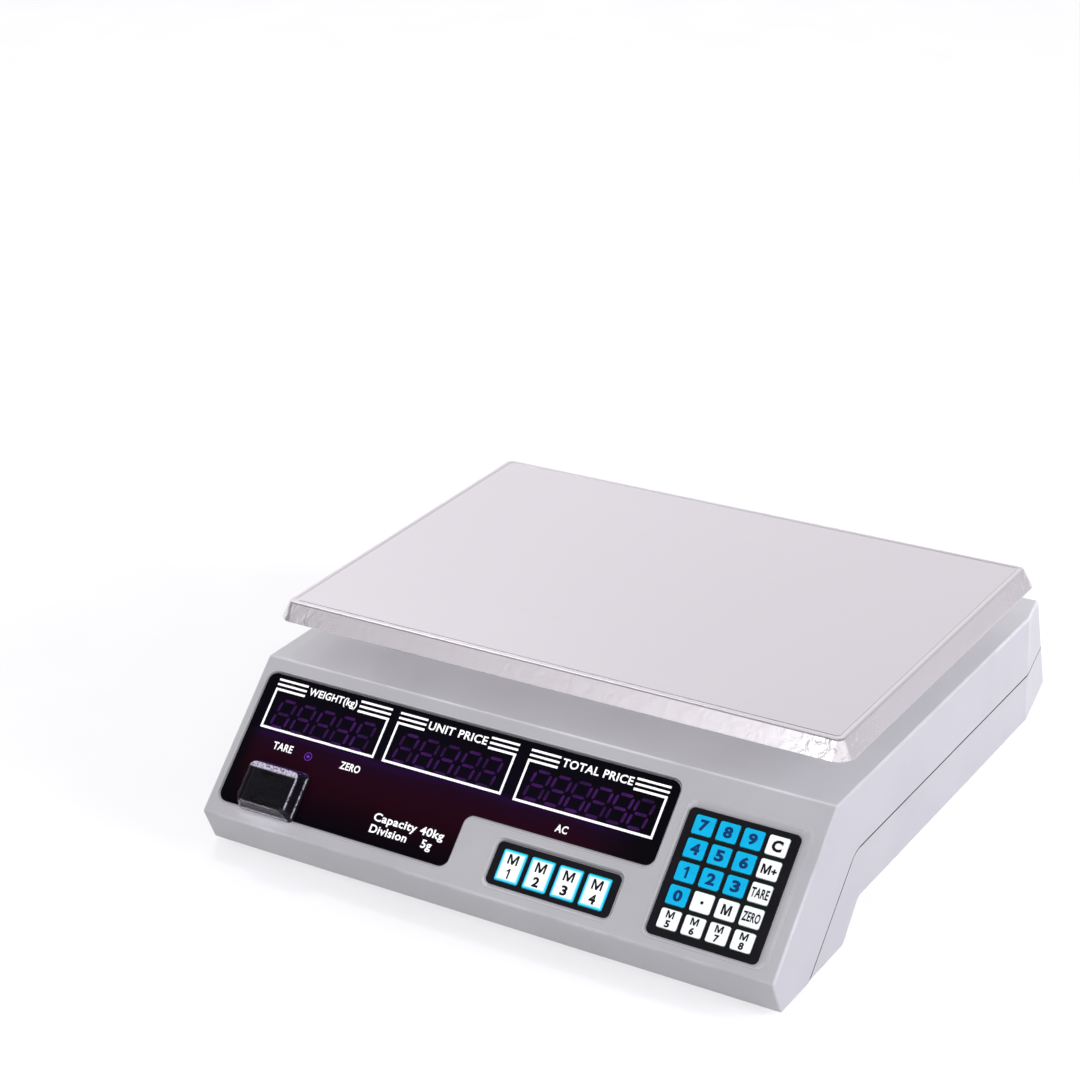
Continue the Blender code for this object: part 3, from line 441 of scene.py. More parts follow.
# Circuit boards: green solder mask over copper on glass-fibre board, screwed behind the windows,
# behind the keypads and on the floor. Tracks show as slightly lighter lines under the glossy mask.
solder_mask, tree, shader = finish("green_solder_mask", {"IOR": 1.5, "Roughness": 0.35})
spot = add(tree, "TexCoord")
tracks = add(tree, "TexBrick", {"Vector": spot.outputs["Object"], "Scale": 1 / 0.012,
                                "Color1": linear("#0F5A2C"), "Color2": linear("#126333"),
                                "Mortar": linear("#2A8A4C"), "Mortar Size": 0.03})
tree.links.new(tracks.outputs["Color"], shader.inputs["Base Color"])
lift = add(tree, "Bump", {"Height": tracks.outputs["Fac"], "Strength": 0.4, "Distance": 0.0001})
tree.links.new(lift.outputs["Normal"], shader.inputs["Normal"])
for name in ("main_board", "display_board", "keypad_board", "memory_keypad_board", "customer_display_board"):
    dressed(name, solder_mask, 0.2)

# Digit readouts: LED blocks cast in grey epoxy, soldered to the display board in three groups.
# The face is matt, with a paler cell for each digit.
epoxy = patterned("cast_epoxy_grey", {"IOR": 1.5, "Roughness": 0.55}, ("TexWave", 42, {}),
                  [(0.1, "#3A393B"), (0.3, "#4C4B4E")])
for name in ("weight_readout", "unit_price_readout", "total_price_readout"):
    dressed(name, epoxy, 0.3)

# Transformer and battery: a laminated steel core with its winding, and a sealed battery in an ABS case.
# Both stand on the floor of the lower shell. Laminations show as fine dark lines 0.5 mm apart,
# drawn at 2 mm; the battery's case is dull black.
laminated = patterned("laminated_core_steel", {"Metallic": 0.9, "Roughness": 0.5}, ("TexWave", 12, {}),
                      [(0.2, "#3E3A36"), (0.5, "#7A746C")])
dressed("transformer", laminated)
battery_abs = patterned("battery_abs_black", {"IOR": 1.54, "Roughness": 0.55}, ("TexNoise", 10, {"Detail": 6}),
                        [(0.4, "#1C1D1F"), (0.7, "#2A2C2F")])
dressed("battery", battery_abs, 0.8)

# Upper case shell: sloping control panel, flat deck, side walls and sloping rear end.
# Moulded with the lower shell, in the same ABS. Windows and keypads sit in recesses with leaning sides.
# The pan support's post passes through a square hole in the deck.
RECESS, FIT, RIM_SHARE = 1.5, 0.4, 1.16
WINDOW_CORNERS = [Vector(point) for point in (
    (-163.5, 8.5), (-19, 8.5), (-19, 38), (88.5, 38), (88.5, 82.5), (-163.5, 82.5))]
WINDOW_RADIUS, PAD_RADIUS = 5, 3
MAIN_PAD, MEMORY_PAD = ((97, 7), (157.5, 72.5)), ((5, 7.5), (76, 30))
CUSTOMER_WINDOW = ((-95, 6), (95, 31))
SWITCH_AT, SWITCH_HOLE = (-131, 20.5), (13.9, 10.9)
THROUGH = (-10, 5)


def face_frame(origin, across, up):
    """The frame of a face: X runs across it, Y up it and Z out of it. Its origin is in millimetres."""
    across, up = Vector(across), Vector(up).normalized()
    at = Matrix((across, up, across.cross(up))).transposed().to_4x4()
    at.translation = Vector(origin) / 1000
    return at


def drawn(shape, at):
    """A shape in millimetres moved from a face's frame to the scale's."""
    shape.transform(Matrix.Translation(at.translation * 1000) @ at.to_3x3().to_4x4())
    return shape


def corners_of(box):
    (left, low), (right, high) = box
    return [Vector((left, low)), Vector((right, low)), Vector((right, high)), Vector((left, high))]


def contour(corners, radius, by=0.0, z=0.0, steps=5):
    """An outline with rounded corners, larger by a distance all round, at a height."""
    sides = by if isinstance(by, (list, tuple)) else [by] * len(corners)
    wide = inset(corners, [-side for side in sides])
    points = []
    for i, corner in enumerate(wide):
        before, after = wide[i - 1], wide[(i + 1) % len(wide)]
        outward = 1 if (corner - before).cross(after - corner) > 0 else -1
        soft = max(0.3, radius + outward * min(sides))
        points += [(*point, z) for point in fillet(before, corner, after, soft, steps)]
    return points


def layered(corners, radius, profile):
    """A solid through one rounded outline, widened and raised as each step of a profile says."""
    return lofted([contour(corners, radius, by, z) for by, z in profile])


PANEL = face_frame((0, *LIP_TOP), (1, 0, 0), (0, *(DECK_FRONT - LIP_TOP)))
CUSTOMER_SIDE = face_frame((0, *PARTING_REAR), (-1, 0, 0), (0, *(DECK_REAR - REAR_BOTTOM)))


def dish(corners, radius, spread):
    """A recess cutter with leaning sides and a softly rounded rim. Spread is a width for each side."""
    steps = ((0, -RECESS), (0, -RECESS + 0.05), (0.86, -0.35), (1, -0.16), (1.08, -0.05), (RIM_SHARE, 0),
             (1.17, 1.5))
    return layered(corners, radius, [([FIT + share * side for side in spread], z) for share, z in steps])


def rim_bead(corners, radius, spread, thick=0.34, sides=10):
    """A low round bead along a recess's rim, with its middle in the face."""
    rings = []
    for k in range(sides):
        turn = math.tau * (k + 0.5) / sides
        out = FIT + 0.3 + thick * math.cos(turn)
        rings.append(contour(corners, radius, [out + RIM_SHARE * side for side in spread],
                             thick * 0.75 * math.sin(turn)))
    return lofted(rings, joined=True)


def cut_through(corners, radius, by):
    """A cutter right through a wall, narrower or wider than an outline."""
    return layered(corners, radius, [(by, z) for z in THROUGH])


upper_side = [LIP_BOTTOM, PARTING_FOOT, PARTING_FRONT, PARTING_REAR, DECK_REAR, DECK_FRONT, LIP_TOP]
shell = worked(case_slice(upper_side, [0] * 7, HALF_WIDTH, {2: KINK_RADIUS, 5: DECK_RADIUS}, (0, 1, 2)),
               soft_edges)
# Each recess's outline, corner radius and widths of its leaning sides.
recesses = ((WINDOW_CORNERS, WINDOW_RADIUS, [0.7] * 6),
            (corners_of(MAIN_PAD), PAD_RADIUS, [0.9, 3.9, 3.2, 0.9]),
            (corners_of(MEMORY_PAD), PAD_RADIUS, [1.2] * 4))


def switch_hole(low, high):
    """A cutter for the hole that the power switch snaps into."""
    (x, y), (half_wide, half_tall) = SWITCH_AT, SWITCH_HOLE
    return slab((x - half_wide, y - half_tall, low), (x + half_wide, y + half_tall, high))


openings = [cut_through(WINDOW_CORNERS, 3, -3), cut_through(corners_of(MAIN_PAD), 3, -1.5),
            cut_through(corners_of(MEMORY_PAD), 3, -1.5)]
POST_HOLE = (33.5, PAN_Y - 16.5, 79), (66.5, PAN_Y + 16.5, 89)
customer_cuts = [dish(corners_of(CUSTOMER_WINDOW), PAD_RADIUS, [0.7] * 4),
                 cut_through(corners_of(CUSTOMER_WINDOW), PAD_RADIUS, -3)]
shell = worked(
    shell, plus(drawn(together([rim_bead(*recess) for recess in recesses]), PANEL)),
    less(case_slice(upper_side, [-4] * 3 + [WALL] * 4, HALF_WIDTH - WALL)),
    less(drawn(together([dish(*recess) for recess in recesses]), PANEL)),
    less(drawn(together(openings), PANEL)), less(drawn(switch_hole(*THROUGH), PANEL)),
    *[less(drawn(cut, CUSTOMER_SIDE)) for cut in customer_cuts], less(slab(*POST_HOLE)))
piece("upper_case", mark_highlights_and_seam_shade(shell, SEAM_REACH), case_abs, "housing", ["top_housing"])

# Display window: an L-shaped sheet of smoked acrylic, printed black on its back round the readouts.
# It is stuck into the panel's recess. Cast acrylic is flat and glossy; plum bands are painted across it between
# the printed areas, fading out to the left and right, and the purple band just under the readouts is a painted
# highlight.
smoked, tree, shader = finish("smoked_acrylic_printed", {"IOR": 1.49, "Specular IOR Level": 0.06})
spot = add(tree, "TexCoord")
drift = add(tree, "TexNoise", {"Vector": spot.outputs["Object"], "Scale": 1 / 0.03, "Detail": 3})
shift = add(tree, "MapRange", {"Value": drift.outputs["Fac"], "To Min": -0.004, "To Max": 0.004})
axes = add(tree, "SeparateXYZ", {"Vector": spot.outputs["Object"]})
height = add(tree, "Math", {0: axes.outputs["Y"], 1: shift.outputs["Result"]}, operation="ADD")
share = add(tree, "MapRange", {"Value": height.outputs["Value"], "From Min": 0.0, "From Max": 0.083})
# Plum bands are painted across the sheet, from its lower edge to the readouts; the purple band just under the
# readouts is a painted highlight.
plum_bands_and_highlight = add(tree, "ValToRGB", {"Fac": share.outputs["Result"]},
            [(0.12, "#050308"), (0.24, "#10030A"), (0.36, "#1B040D"), (0.48, "#1D0512"), (0.57, "#1A0619"),
             (0.61, "#1B0929"), (0.65, "#0A0612"), (1, "#07050B")])
side = add(tree, "MapRange", {"Value": axes.outputs["X"], "From Min": -0.164, "From Max": -0.150},
           interpolation_type="SMOOTHSTEP")
far = add(tree, "MapRange", {"Value": axes.outputs["X"], "From Min": 0.040, "From Max": 0.085, "To Min": 1,
                             "To Max": 0}, interpolation_type="SMOOTHSTEP")
both = add(tree, "Math", {0: side.outputs["Result"], 1: far.outputs["Result"]}, operation="MULTIPLY")
tone = add(tree, "Mix", {"Factor": both.outputs["Value"], 6: linear("#060509"), 7: plum_bands_and_highlight.outputs["Color"]},
           data_type="RGBA")
tree.links.new(tone.outputs[2], shader.inputs["Base Color"])
wipe = add(tree, "TexNoise", {"Vector": spot.outputs["Object"], "Scale": 1 / 0.012, "Detail": 5})
gloss = add(tree, "MapRange", {"Value": wipe.outputs["Fac"], "To Min": 0.05, "To Max": 0.11})
tree.links.new(gloss.outputs["Result"], shader.inputs["Roughness"])

PLATE_EDGE = ((0, -1.2), (0, -0.25), (-0.08, -0.07), (-0.25, 0))
plate = worked(layered(WINDOW_CORNERS, WINDOW_RADIUS, PLATE_EDGE), less(switch_hole(-5, 5)))
piece("display_lens", plate, smoked, "housing", ["display_window"], PANEL)

# Window print: white frames, stripes and words that name the readouts and the lamps.
# Screen-printed ink, opaque and slightly uneven, with the acrylic's gloss over it.
white_ink = patterned("screen_ink_white", {"IOR": 1.5, "Roughness": 0.3, "Specular IOR Level": 0.2},
                      ("TexNoise", 1.5, {"Detail": 3}), [(0.3, "#F2F2F5"), (0.7, "#FFFFFF")])

INK, LINE, STRIPE, STRIPE_RISES = 0.04, 1.25, 1.15, (2.7, 5.4)
PRINT_WEIGHT, LETTER_SPACING = 0.022, 1.07
# Each readout's frame: left, right, low and top, and where the line above it stops and starts again.
READOUTS = ((-156.5, -83, 52, 74.6, -137.5, -103), (-77.6, -4.4, 51.8, 74.2, -60.5, -21.3),
            (3, 83.7, 51, 73.6, 20.5, 64.5))
# Each word's text, centre, height and width.
WORDS = (("WEIGHT(kg)", (-120.3, 76.6), 5.4, 31), ("UNIT PRICE", (-40.9, 76.6), 4.5, 36),
         ("TOTAL PRICE", (42.6, 76.4), 4.5, 41), ("TARE", (-137.5, 44.4), 4.1, 12.5),
         ("ZERO", (-93.8, 44), 4.1, 12.5), ("AC", (35.3, 43.6), 4.1, 7.0),
         ("Capacity 40kg", (-47.2, 22.6), 5.8, 43), ("Division    5g", (-49.5, 16.2), 5.8, 38))


def plotted(points):
    """A thin printed area with this outline."""
    return lofted([[(*point, z) for point in points] for z in (0, INK)])


def hoop(outside, inside):
    """A thin printed area between two outlines of equally many points."""
    return lofted([[(*point, z) for point in points]
                   for points, z in ((outside, 0), (outside, INK), (inside, INK), (inside, 0))], joined=True)


def bar(left, low, right, high):
    return plotted(((left, low), (right, low), (right, high), (left, high)))


def circle(radius, x=0.0, y=0.0, sides=24):
    return [(x + radius * math.cos(math.tau * k / sides), y + radius * math.sin(math.tau * k / sides))
            for k in range(sides)]


def lettering(words, centre, height, width, weight=PRINT_WEIGHT):
    """Words in the built-in typeface, with this height and width."""
    line = bpy.data.curves.new("words", "FONT")
    line.body, line.align_x, line.extrude, line.offset, line.resolution_u = words, "CENTER", 0.5, weight, 3
    line.space_character = LETTER_SPACING
    holder = bpy.data.objects.new("words", line)
    bpy.context.scene.collection.objects.link(holder)
    mesh = bpy.data.meshes.new_from_object(holder.evaluated_get(bpy.context.evaluated_depsgraph_get()))
    bpy.data.objects.remove(holder)
    bpy.data.curves.remove(line)
    shape = bmesh.new()
    shape.from_mesh(mesh)
    bpy.data.meshes.remove(mesh)
    bmesh.ops.remove_doubles(shape, verts=shape.verts, dist=1e-5)
    low = Vector(min(vert.co[axis] for vert in shape.verts) for axis in range(3))
    high = Vector(max(vert.co[axis] for vert in shape.verts) for axis in range(3))
    stretch = Matrix.Diagonal((width / (high.x - low.x), height / (high.y - low.y), INK, 1))
    shape.transform(Matrix.Translation((*centre, INK / 2)) @ stretch @ Matrix.Translation(-(low + high) / 2))
    return shape


def strokes(letter, centre, height, width, thick):
    """A capital M, a one or a plus sign in even strokes, which the built-in typeface draws too fancifully."""
    s, h, w = thick, height, width
    left, right, low, high = w / 2 - s / 2, w / 2 + s / 2, h / 2 - s / 2, h / 2 + s / 2
    shapes = {
        "M": ((0, 0), (0, h), (1.2 * s, h), (w / 2, 0.38 * h), (w - 1.2 * s, h), (w, h), (w, 0), (w - s, 0),
              (w - s, 0.68 * h), (w / 2 + 0.5 * s, 0), (w / 2 - 0.5 * s, 0), (s, 0.68 * h), (s, 0)),
        "1": ((w / 2, 0), (w / 2, 0.72 * h), (0, 0.66 * h), (0, 0.82 * h), (0.3 * w, 0.87 * h), (w / 2, h),
              (w / 2 + s, h), (w / 2 + s, 0)),
        "+": ((left, 0), (left, low), (0, low), (0, high), (left, high), (left, h), (right, h), (right, high),
              (w, high), (w, low), (right, low), (right, 0))}
    return plotted([(centre[0] - w / 2 + x, centre[1] - h / 2 + y) for x, y in shapes[letter]])


def readout_frame(left, right, low, top, left_stop, right_stop):
    """A white line round a readout, open above between two stops, with two stripes over each end."""
    outline = ((left_stop, top), (left, top), (left, low), (right, low), (right, top), (right_stop, top),
               (right_stop, top - LINE), (right - LINE, top - LINE), (right - LINE, low + LINE),
               (left + LINE, low + LINE), (left + LINE, top - LINE), (left_stop, top - LINE))
    stripes = [plotted(outline)]
    for rise in STRIPE_RISES:
        stripes += [bar(left, top + rise - STRIPE, left_stop, top + rise),
                    bar(right_stop, top + rise - STRIPE, right, top + rise)]
    return stripes


prints = [stripe for readout in READOUTS for stripe in readout_frame(*readout)]
prints += [lettering(*word) for word in WORDS]
piece("window_print", together(prints), white_ink, "housing", (), PANEL)

# Unlit digits: the segments of the LED readouts and the tare lamp, seen dark through the smoked sheet.
# They are printed here as a thin violet film, because the sheet above them is drawn opaque.
unlit = patterned("unlit_segment_violet", {"IOR": 1.49, "Roughness": 0.12, "Specular IOR Level": 0.06},
                  ("TexNoise", 12, {"Detail": 2}), [(0.35, "#240F33"), (0.65, "#3A1750")])

DIGIT_WIDE, DIGIT_TALL, SEGMENT, SLANT = 8.8, 15.0, 1.6, math.tan(math.radians(9))
DIGITS_AT, DIGIT_MARGIN = 61.4, 4.5


def digit(centre, wide=DIGIT_WIDE, tall=DIGIT_TALL, thick=SEGMENT):
    """The seven bars of one digit, leaning to the right."""
    half_wide, half_tall, gap = wide / 2, tall / 2, thick * 0.55
    bars = [((0, y), (half_wide - gap, 0)) for y in (-half_tall, 0, half_tall)]
    bars += [((x, y), (0, half_tall / 2 - gap)) for x in (-half_wide, half_wide)
             for y in (-half_tall / 2, half_tall / 2)]
    shapes = []
    for (x, y), (along_x, along_y) in bars:
        a, b = Vector((along_x, along_y)), Vector((-along_y, along_x)).normalized() * thick / 2
        tip = a.normalized() * thick / 2
        points = (a + tip * 0.2, a - tip + b, -a + tip + b, -a - tip * 0.2, -a + tip - b, a - tip - b)
        shapes.append(plotted([(centre[0] + x + p.x + SLANT * (y + p.y), centre[1] + y + p.y) for p in points]))
    return shapes


segments = []
for count, (left, right, *_) in zip((5, 5, 6), READOUTS):
    step = (right - left - 2 * DIGIT_MARGIN) / count
    for k in range(count):
        segments += digit((left + DIGIT_MARGIN + (k + 0.5) * step, DIGITS_AT))
piece("unlit_segments", together(segments), unlit, "housing", (), PANEL)

# Tare lamp: a small LED behind the sheet, seen as a violet dot inside the ring of its holder.
lamp_violet = patterned("diffuse_led_violet", {"IOR": 1.49, "Roughness": 0.2, "Specular IOR Level": 0.1},
                        ("TexNoise", 2, {"Detail": 2}), [(0.3, "#4A1F80"), (0.7, "#6A35A8")])
LAMP_AT, LAMP, HOLDER = (-120.6, 43.4), 0.9, (2.4, 1.9)
holder = hoop(*[circle(radius, *LAMP_AT) for radius in HOLDER])
piece("tare_lamp", together([plotted(circle(LAMP, *LAMP_AT)), holder]), lamp_violet, "housing",
      (), PANEL)

# Power switch: a snap-in rocker switch whose black frame sits on the window, at its lower left.
# Moulded nylon, satin black. The rocker's face is a shallow V about its pin, with grip ribs on one half.
black_nylon = patterned("moulded_nylon_black", {"IOR": 1.53, "Specular IOR Level": 0.3},
                        ("TexNoise", 8, {"Detail": 3}), [(0.3, "#0E0D10"), (0.7, "#17161A")], (0.22, 0.36),
                        (0.12, 0.2), ("TexNoise", 0.8, {"Detail": 2}))

SWITCH = PANEL @ Matrix.Translation((SWITCH_AT[0] / 1000, SWITCH_AT[1] / 1000, 0))
SWITCH_FLANGE, SWITCH_BODY, SWITCH_WELL = [
    ((-x, -y), (x, y)) for x, y in ((17.5, 13.5), (13.5, 10.5), (11.4, 7.4))]
flange = layered(corners_of(SWITCH_FLANGE), 2.5, ((0, 0.3), (0, 1.2), (-0.2, 1.7), (-0.7, 2.0)))
stem = slab((*SWITCH_BODY[0], -18), (*SWITCH_BODY[1], 1.5))
well = layered(corners_of(SWITCH_WELL), 0.8, ((0, -9), (0, 1.5), (0.3, 1.85), (0.6, 2.01), (0.6, 5)))
piece("switch_frame", worked(flange, plus(stem), less(well)), black_nylon, "housing",
      ["switch_body"], SWITCH)

half_long, half_wide, TILT, FACE_AT = 11, 7, math.radians(8), 1.2
rise = half_long * math.tan(TILT)
section = ((-half_long, -3), (0, -7), (half_long, -3), (half_long, FACE_AT + rise), (0, FACE_AT),
           (-half_long, FACE_AT + rise))
rocker = lofted([[(u, v, w) for u, w in section] for v in (-half_wide, half_wide)])
rocker = worked(rocker, ("BEVEL", {"width": 0.6, "segments": 3, "angle_limit": math.radians(35)}))
ribs = []
for u in (4.5, 5.9, 7.3, 8.7):
    w = FACE_AT + u * math.tan(TILT)
    ribs.append(slab((u - 0.35, -5.2, w - 0.4), (u + 0.35, 5.2, w + 0.3)))
piece("power_rocker_cap", worked(rocker, plus(together(ribs))), black_nylon, "rocker",
      ["power_rocker"], SWITCH @ Matrix.Rotation(TILT, 4, "Y"))

# Splash cover: a clear box over the rocker, stuck to the switch frame, soft enough to press through.
# Moulded clear vinyl, thin-walled and glossy, with rounded edges that catch the light.
# The crown's rim and the base's lower and right rims are painted whiter and less clear as a highlight, most
# along the crown's upper edge; the base's upper rim is painted violet and less clear as a reflection.
clear_vinyl, tree, shader = finish("moulded_vinyl_clear", {"IOR": 1.22})
spot = add(tree, "TexCoord")
ripple = add(tree, "TexNoise", {"Vector": spot.outputs["Object"], "Scale": 1 / 0.004, "Detail": 3})
scratches = add(tree, "TexNoise", {"Vector": spot.outputs["Object"], "Scale": 1 / 0.0012, "Detail": 4})
axes = add(tree, "SeparateXYZ", {"Vector": spot.outputs["Object"]})
rims = []
for axis, start, end in (("X", 0.0149, 0.0152), ("Y", 0.0078, 0.0086)):
    rims.append(add(tree, "MapRange", {"Value": axes.outputs[axis], "From Min": start, "From Max": end}))
low_rim = add(tree, "MapRange", {"Value": axes.outputs["Y"], "From Min": -0.0128, "From Max": -0.0132})
right_rim = add(tree, "MapRange", {"Value": axes.outputs["X"], "From Min": 0.0171, "From Max": 0.0173})
rim = add(tree, "Math", {0: rims[0].outputs["Result"], 1: rims[1].outputs["Result"]}, operation="MAXIMUM")
high = add(tree, "MapRange", {"Value": axes.outputs["Z"], "From Min": 0.0084, "From Max": 0.0090})
crown_rim = add(tree, "Math", {0: rim.outputs["Value"], 1: high.outputs["Result"]}, operation="MULTIPLY")
base_rim = add(tree, "Math", {0: low_rim.outputs["Result"], 1: right_rim.outputs["Result"]},
               operation="MAXIMUM")
either = add(tree, "Math", {0: crown_rim.outputs["Value"], 1: base_rim.outputs["Value"]}, operation="MAXIMUM")
# The base's upper rim: a painted violet reflection.
painted_violet_reflection = add(tree, "MapRange", {"Value": axes.outputs["Y"], "From Min": 0.0128, "From Max": 0.0131})
ragged = add(tree, "MapRange", {"Value": scratches.outputs["Fac"], "From Min": 0.36, "From Max": 0.52})
# Crown and base rims made whiter and less clear: a painted highlight.
painted_highlight = add(tree, "Math", {0: either.outputs["Value"], 1: ragged.outputs["Result"]}, operation="MULTIPLY")
highlight_and_reflection_mask = add(tree, "Math", {0: painted_highlight.outputs["Value"], 1: painted_violet_reflection.outputs["Result"]}, operation="MAXIMUM")
clear = add(tree, "MapRange", {"Value": highlight_and_reflection_mask.outputs["Value"], "To Min": 1.0, "To Max": 0.25})
gloss = add(tree, "MapRange", {"Value": ripple.outputs["Fac"], "To Min": 0.04, "To Max": 0.12})
skin = add(tree, "Bump", {"Height": ripple.outputs["Fac"], "Strength": 0.2, "Distance": 0.0004})
# The painted highlight's tone, then the painted violet reflection over it.
painted_highlight_tone = add(tree, "ValToRGB", {"Fac": painted_highlight.outputs["Value"]}, [(0, "#B4B2BA"), (1, "#C2BBD0")])
tone = add(tree, "Mix", {"Factor": painted_violet_reflection.outputs["Result"], 6: painted_highlight_tone.outputs["Color"],
                         7: linear("#4B2396")}, data_type="RGBA")
tree.links.new(tone.outputs[2], shader.inputs["Base Color"])
tree.links.new(clear.outputs["Result"], shader.inputs["Transmission Weight"])
tree.links.new(gloss.outputs["Result"], shader.inputs["Roughness"])
tree.links.new(skin.outputs["Normal"], shader.inputs["Normal"])

COVER_BASE, COVER_CROWN = SWITCH_FLANGE, ((-15, -11), (15, 11))
inner = ((COVER_CROWN, -1.7, 8.95), (COVER_CROWN, -0.8, 8.6), (COVER_CROWN, -0.4, 8.0), (COVER_BASE, -1, 2.3))
outer = ((COVER_BASE, -0.2, 2.3), (COVER_BASE, 0, 2.6), (COVER_CROWN, 0.6, 8.6), (COVER_CROWN, 0.2, 9.4),
         (COVER_CROWN, -0.5, 9.82), (COVER_CROWN, -1.2, 9.9))
cover = lofted([contour(corners_of(box), 3, by, z) for box, by, z in inner + outer])
piece("switch_splash_cover", cover, clear_vinyl, "housing", ["switch_cover"], SWITCH)

# Keypad films: charcoal polyester with a window for each key, stuck into the panel's two recesses.
# Printed on the back and lightly textured in front, so it is dark with a soft, dry sheen.
film = patterned("polyester_film_charcoal", {"IOR": 1.57, "Specular IOR Level": 0.07},
                 ("TexNoise", 15, {"Detail": 3}), [(0.3, "#121115"), (0.7, "#17161A")], (0.34, 0.46),
                 (0.12, 0.1), ("TexNoise", 0.7, {"Detail": 2}))

DIGIT_KEYS = [f"key_{number}" for number in range(10)]
MEMORY_KEYS = [f"key_memory_{number}" for number in range(1, 5)]
WHITE_KEYS = ["key_clear", "key_add", "key_tare", "key_point", "key_recall", "key_zero"]
WHITE_KEYS += [f"key_memory_{number}" for number in range(5, 9)]
KEY_GAP, FILM_EDGE = 0.35, ((0, -1.2), (0, -0.55), (-0.15, -0.4))


def key_place(name):
    """A key's centre on the panel and its width and height there, from its CAD node."""
    corners = [PANEL.inverted() @ vert.co * 1000 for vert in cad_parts[name].data.vertices]
    low, high = [Vector((pick(point.x for point in corners), pick(point.y for point in corners)))
                 for pick in (min, max)]
    return (low + high) / 2, high - low


def key_box(name, by):
    centre, size = key_place(name)
    half = size / 2 + Vector((by, by))
    return corners_of((centre - half, centre + half))


for name, box, keys, node in (("keypad_film", MAIN_PAD, DIGIT_KEYS + WHITE_KEYS, "keypad_overlay"),
                              ("memory_keypad_film", MEMORY_PAD, MEMORY_KEYS, "memory_keypad_overlay")):
    sheet = layered(corners_of(box), PAD_RADIUS, FILM_EDGE)
    windows = together([layered(key_box(key, KEY_GAP), 1.3, ((0, -3), (0, 3))) for key in keys])
    piece(name, worked(sheet, less(windows)), film, "housing", [node], PANEL)

# Keys: twenty in the price keypad and four memory keys, each a stiff tile under the film's print.
# Digits are blue with navy numerals, the rest white with black words; the memory keys have a blue rim.
# Printed polyester over a moulded tile: smooth, slightly domed and satin.
blue_film = patterned("printed_film_blue", {"IOR": 1.57, "Specular IOR Level": 0.15},
                      ("TexNoise", 7, {"Detail": 3}), [(0.3, "#069CC9"), (0.7, "#0BA5D2")], (0.30, 0.40))

white_film = patterned("printed_film_white", {"IOR": 1.57, "Specular IOR Level": 0.2},
                       ("TexNoise", 7, {"Detail": 3}), [(0.3, "#DADDE0"), (0.7, "#E5E8EA")], (0.30, 0.40))

# The rim's blue fades inwards over about 1.6 mm from the edge of a 13.6 x 16.4 mm key.
rimmed_film, tree, shader = finish("printed_film_white_blue_rim", {"IOR": 1.57, "Roughness": 0.34})
spot = add(tree, "TexCoord")
axes = add(tree, "SeparateXYZ", {"Vector": spot.outputs["Object"]})
nearness = []
for axis, half in (("X", 6.8), ("Y", 8.2)):
    away = add(tree, "Math", {0: axes.outputs[axis]}, operation="ABSOLUTE")
    nearness.append(add(tree, "MapRange", {"Value": away.outputs["Value"], "From Min": (half - 2.6) / 1000,
                                           "From Max": half / 1000}))
nearest = add(tree, "Math", {0: nearness[0].outputs["Result"], 1: nearness[1].outputs["Result"]},
              operation="MAXIMUM")
tone = add(tree, "ValToRGB", {"Fac": nearest.outputs["Value"]},
           [(0, "#FCFCFD"), (0.35, "#E4F7FC"), (0.7, "#2CC4EE"), (1, "#0FB4E6")])
tree.links.new(tone.outputs["Color"], shader.inputs["Base Color"])

navy_ink, black_ink = [
    patterned(f"screen_ink_{colour}", {"IOR": 1.5, "Roughness": 0.35, "Specular IOR Level": 0.15},
              ("TexNoise", 1.2, {"Detail": 2}), [(0.3, deep), (0.7, pale)])
    for colour, deep, pale in (("navy", "#0B2C55", "#0F3A6B"), ("black", "#0C0C0D", "#1A1A1C"))]

KEY_TOP, KEY_THICK = -0.25, 2.0
NUMERAL_TALL, NUMERAL_WEIGHT, POINT_RADIUS = 5.9, 0.05, 0.85
KEY_EDGE = ((0, -KEY_THICK), (0, -0.32), (-0.1, -0.1), (-0.32, -0.02), (-0.7, 0))
for key in DIGIT_KEYS + WHITE_KEYS + MEMORY_KEYS:
    centre, (wide, tall) = key_place(key)
    at = PANEL @ Matrix.Translation((centre.x / 1000, centre.y / 1000, KEY_TOP / 1000))
    box = corners_of(((-wide / 2, -tall / 2), (wide / 2, tall / 2)))
    tile = layered(box, 1.1, KEY_EDGE)
    blue, rimmed = key in DIGIT_KEYS, key in MEMORY_KEYS
    look = blue_film if blue else rimmed_film if rimmed else white_film
    piece(key + "_tile", tile, look, key, [key], at)
    if key == "key_1":
        legend = [strokes("1", (-0.3, 0), NUMERAL_TALL, 2.6, 1.25)]
    elif blue:
        legend = [lettering(key[-1], (0.1, 0), NUMERAL_TALL, 4.8, NUMERAL_WEIGHT)]
    elif key == "key_point":
        legend = [plotted(circle(POINT_RADIUS))]
    elif key == "key_recall":
        legend = [strokes("M", (0, 0), 5.2, 5.0, 1.0)]
    elif key == "key_add":
        legend = [strokes("M", (-1.4, 0), 4.8, 4.8, 0.95), strokes("+", (3.0, -0.4), 2.8, 2.8, 0.9)]
    elif key == "key_clear":
        legend = [lettering("C", (0, 0), NUMERAL_TALL, 5.6, NUMERAL_WEIGHT)]
    elif key in ("key_tare", "key_zero"):
        legend = [lettering(key[4:].upper(), (0, 0), 4.9, 9.4, 0.03)]
    else:
        height, spread = (5.2, 3.7) if rimmed else (3.7, 2.35)
        legend = [strokes("M", (0, spread), height, height * 1.12, height * 0.2),
                  strokes("1", (-0.3, -spread), height, height * 0.42, height * 0.18) if key[-1] == "1"
                  else lettering(key[-1], (0, -spread), height, height * 0.72, 0.045)]
    piece(key + "_legend", together(legend), navy_ink if blue else black_ink, key, (), at)

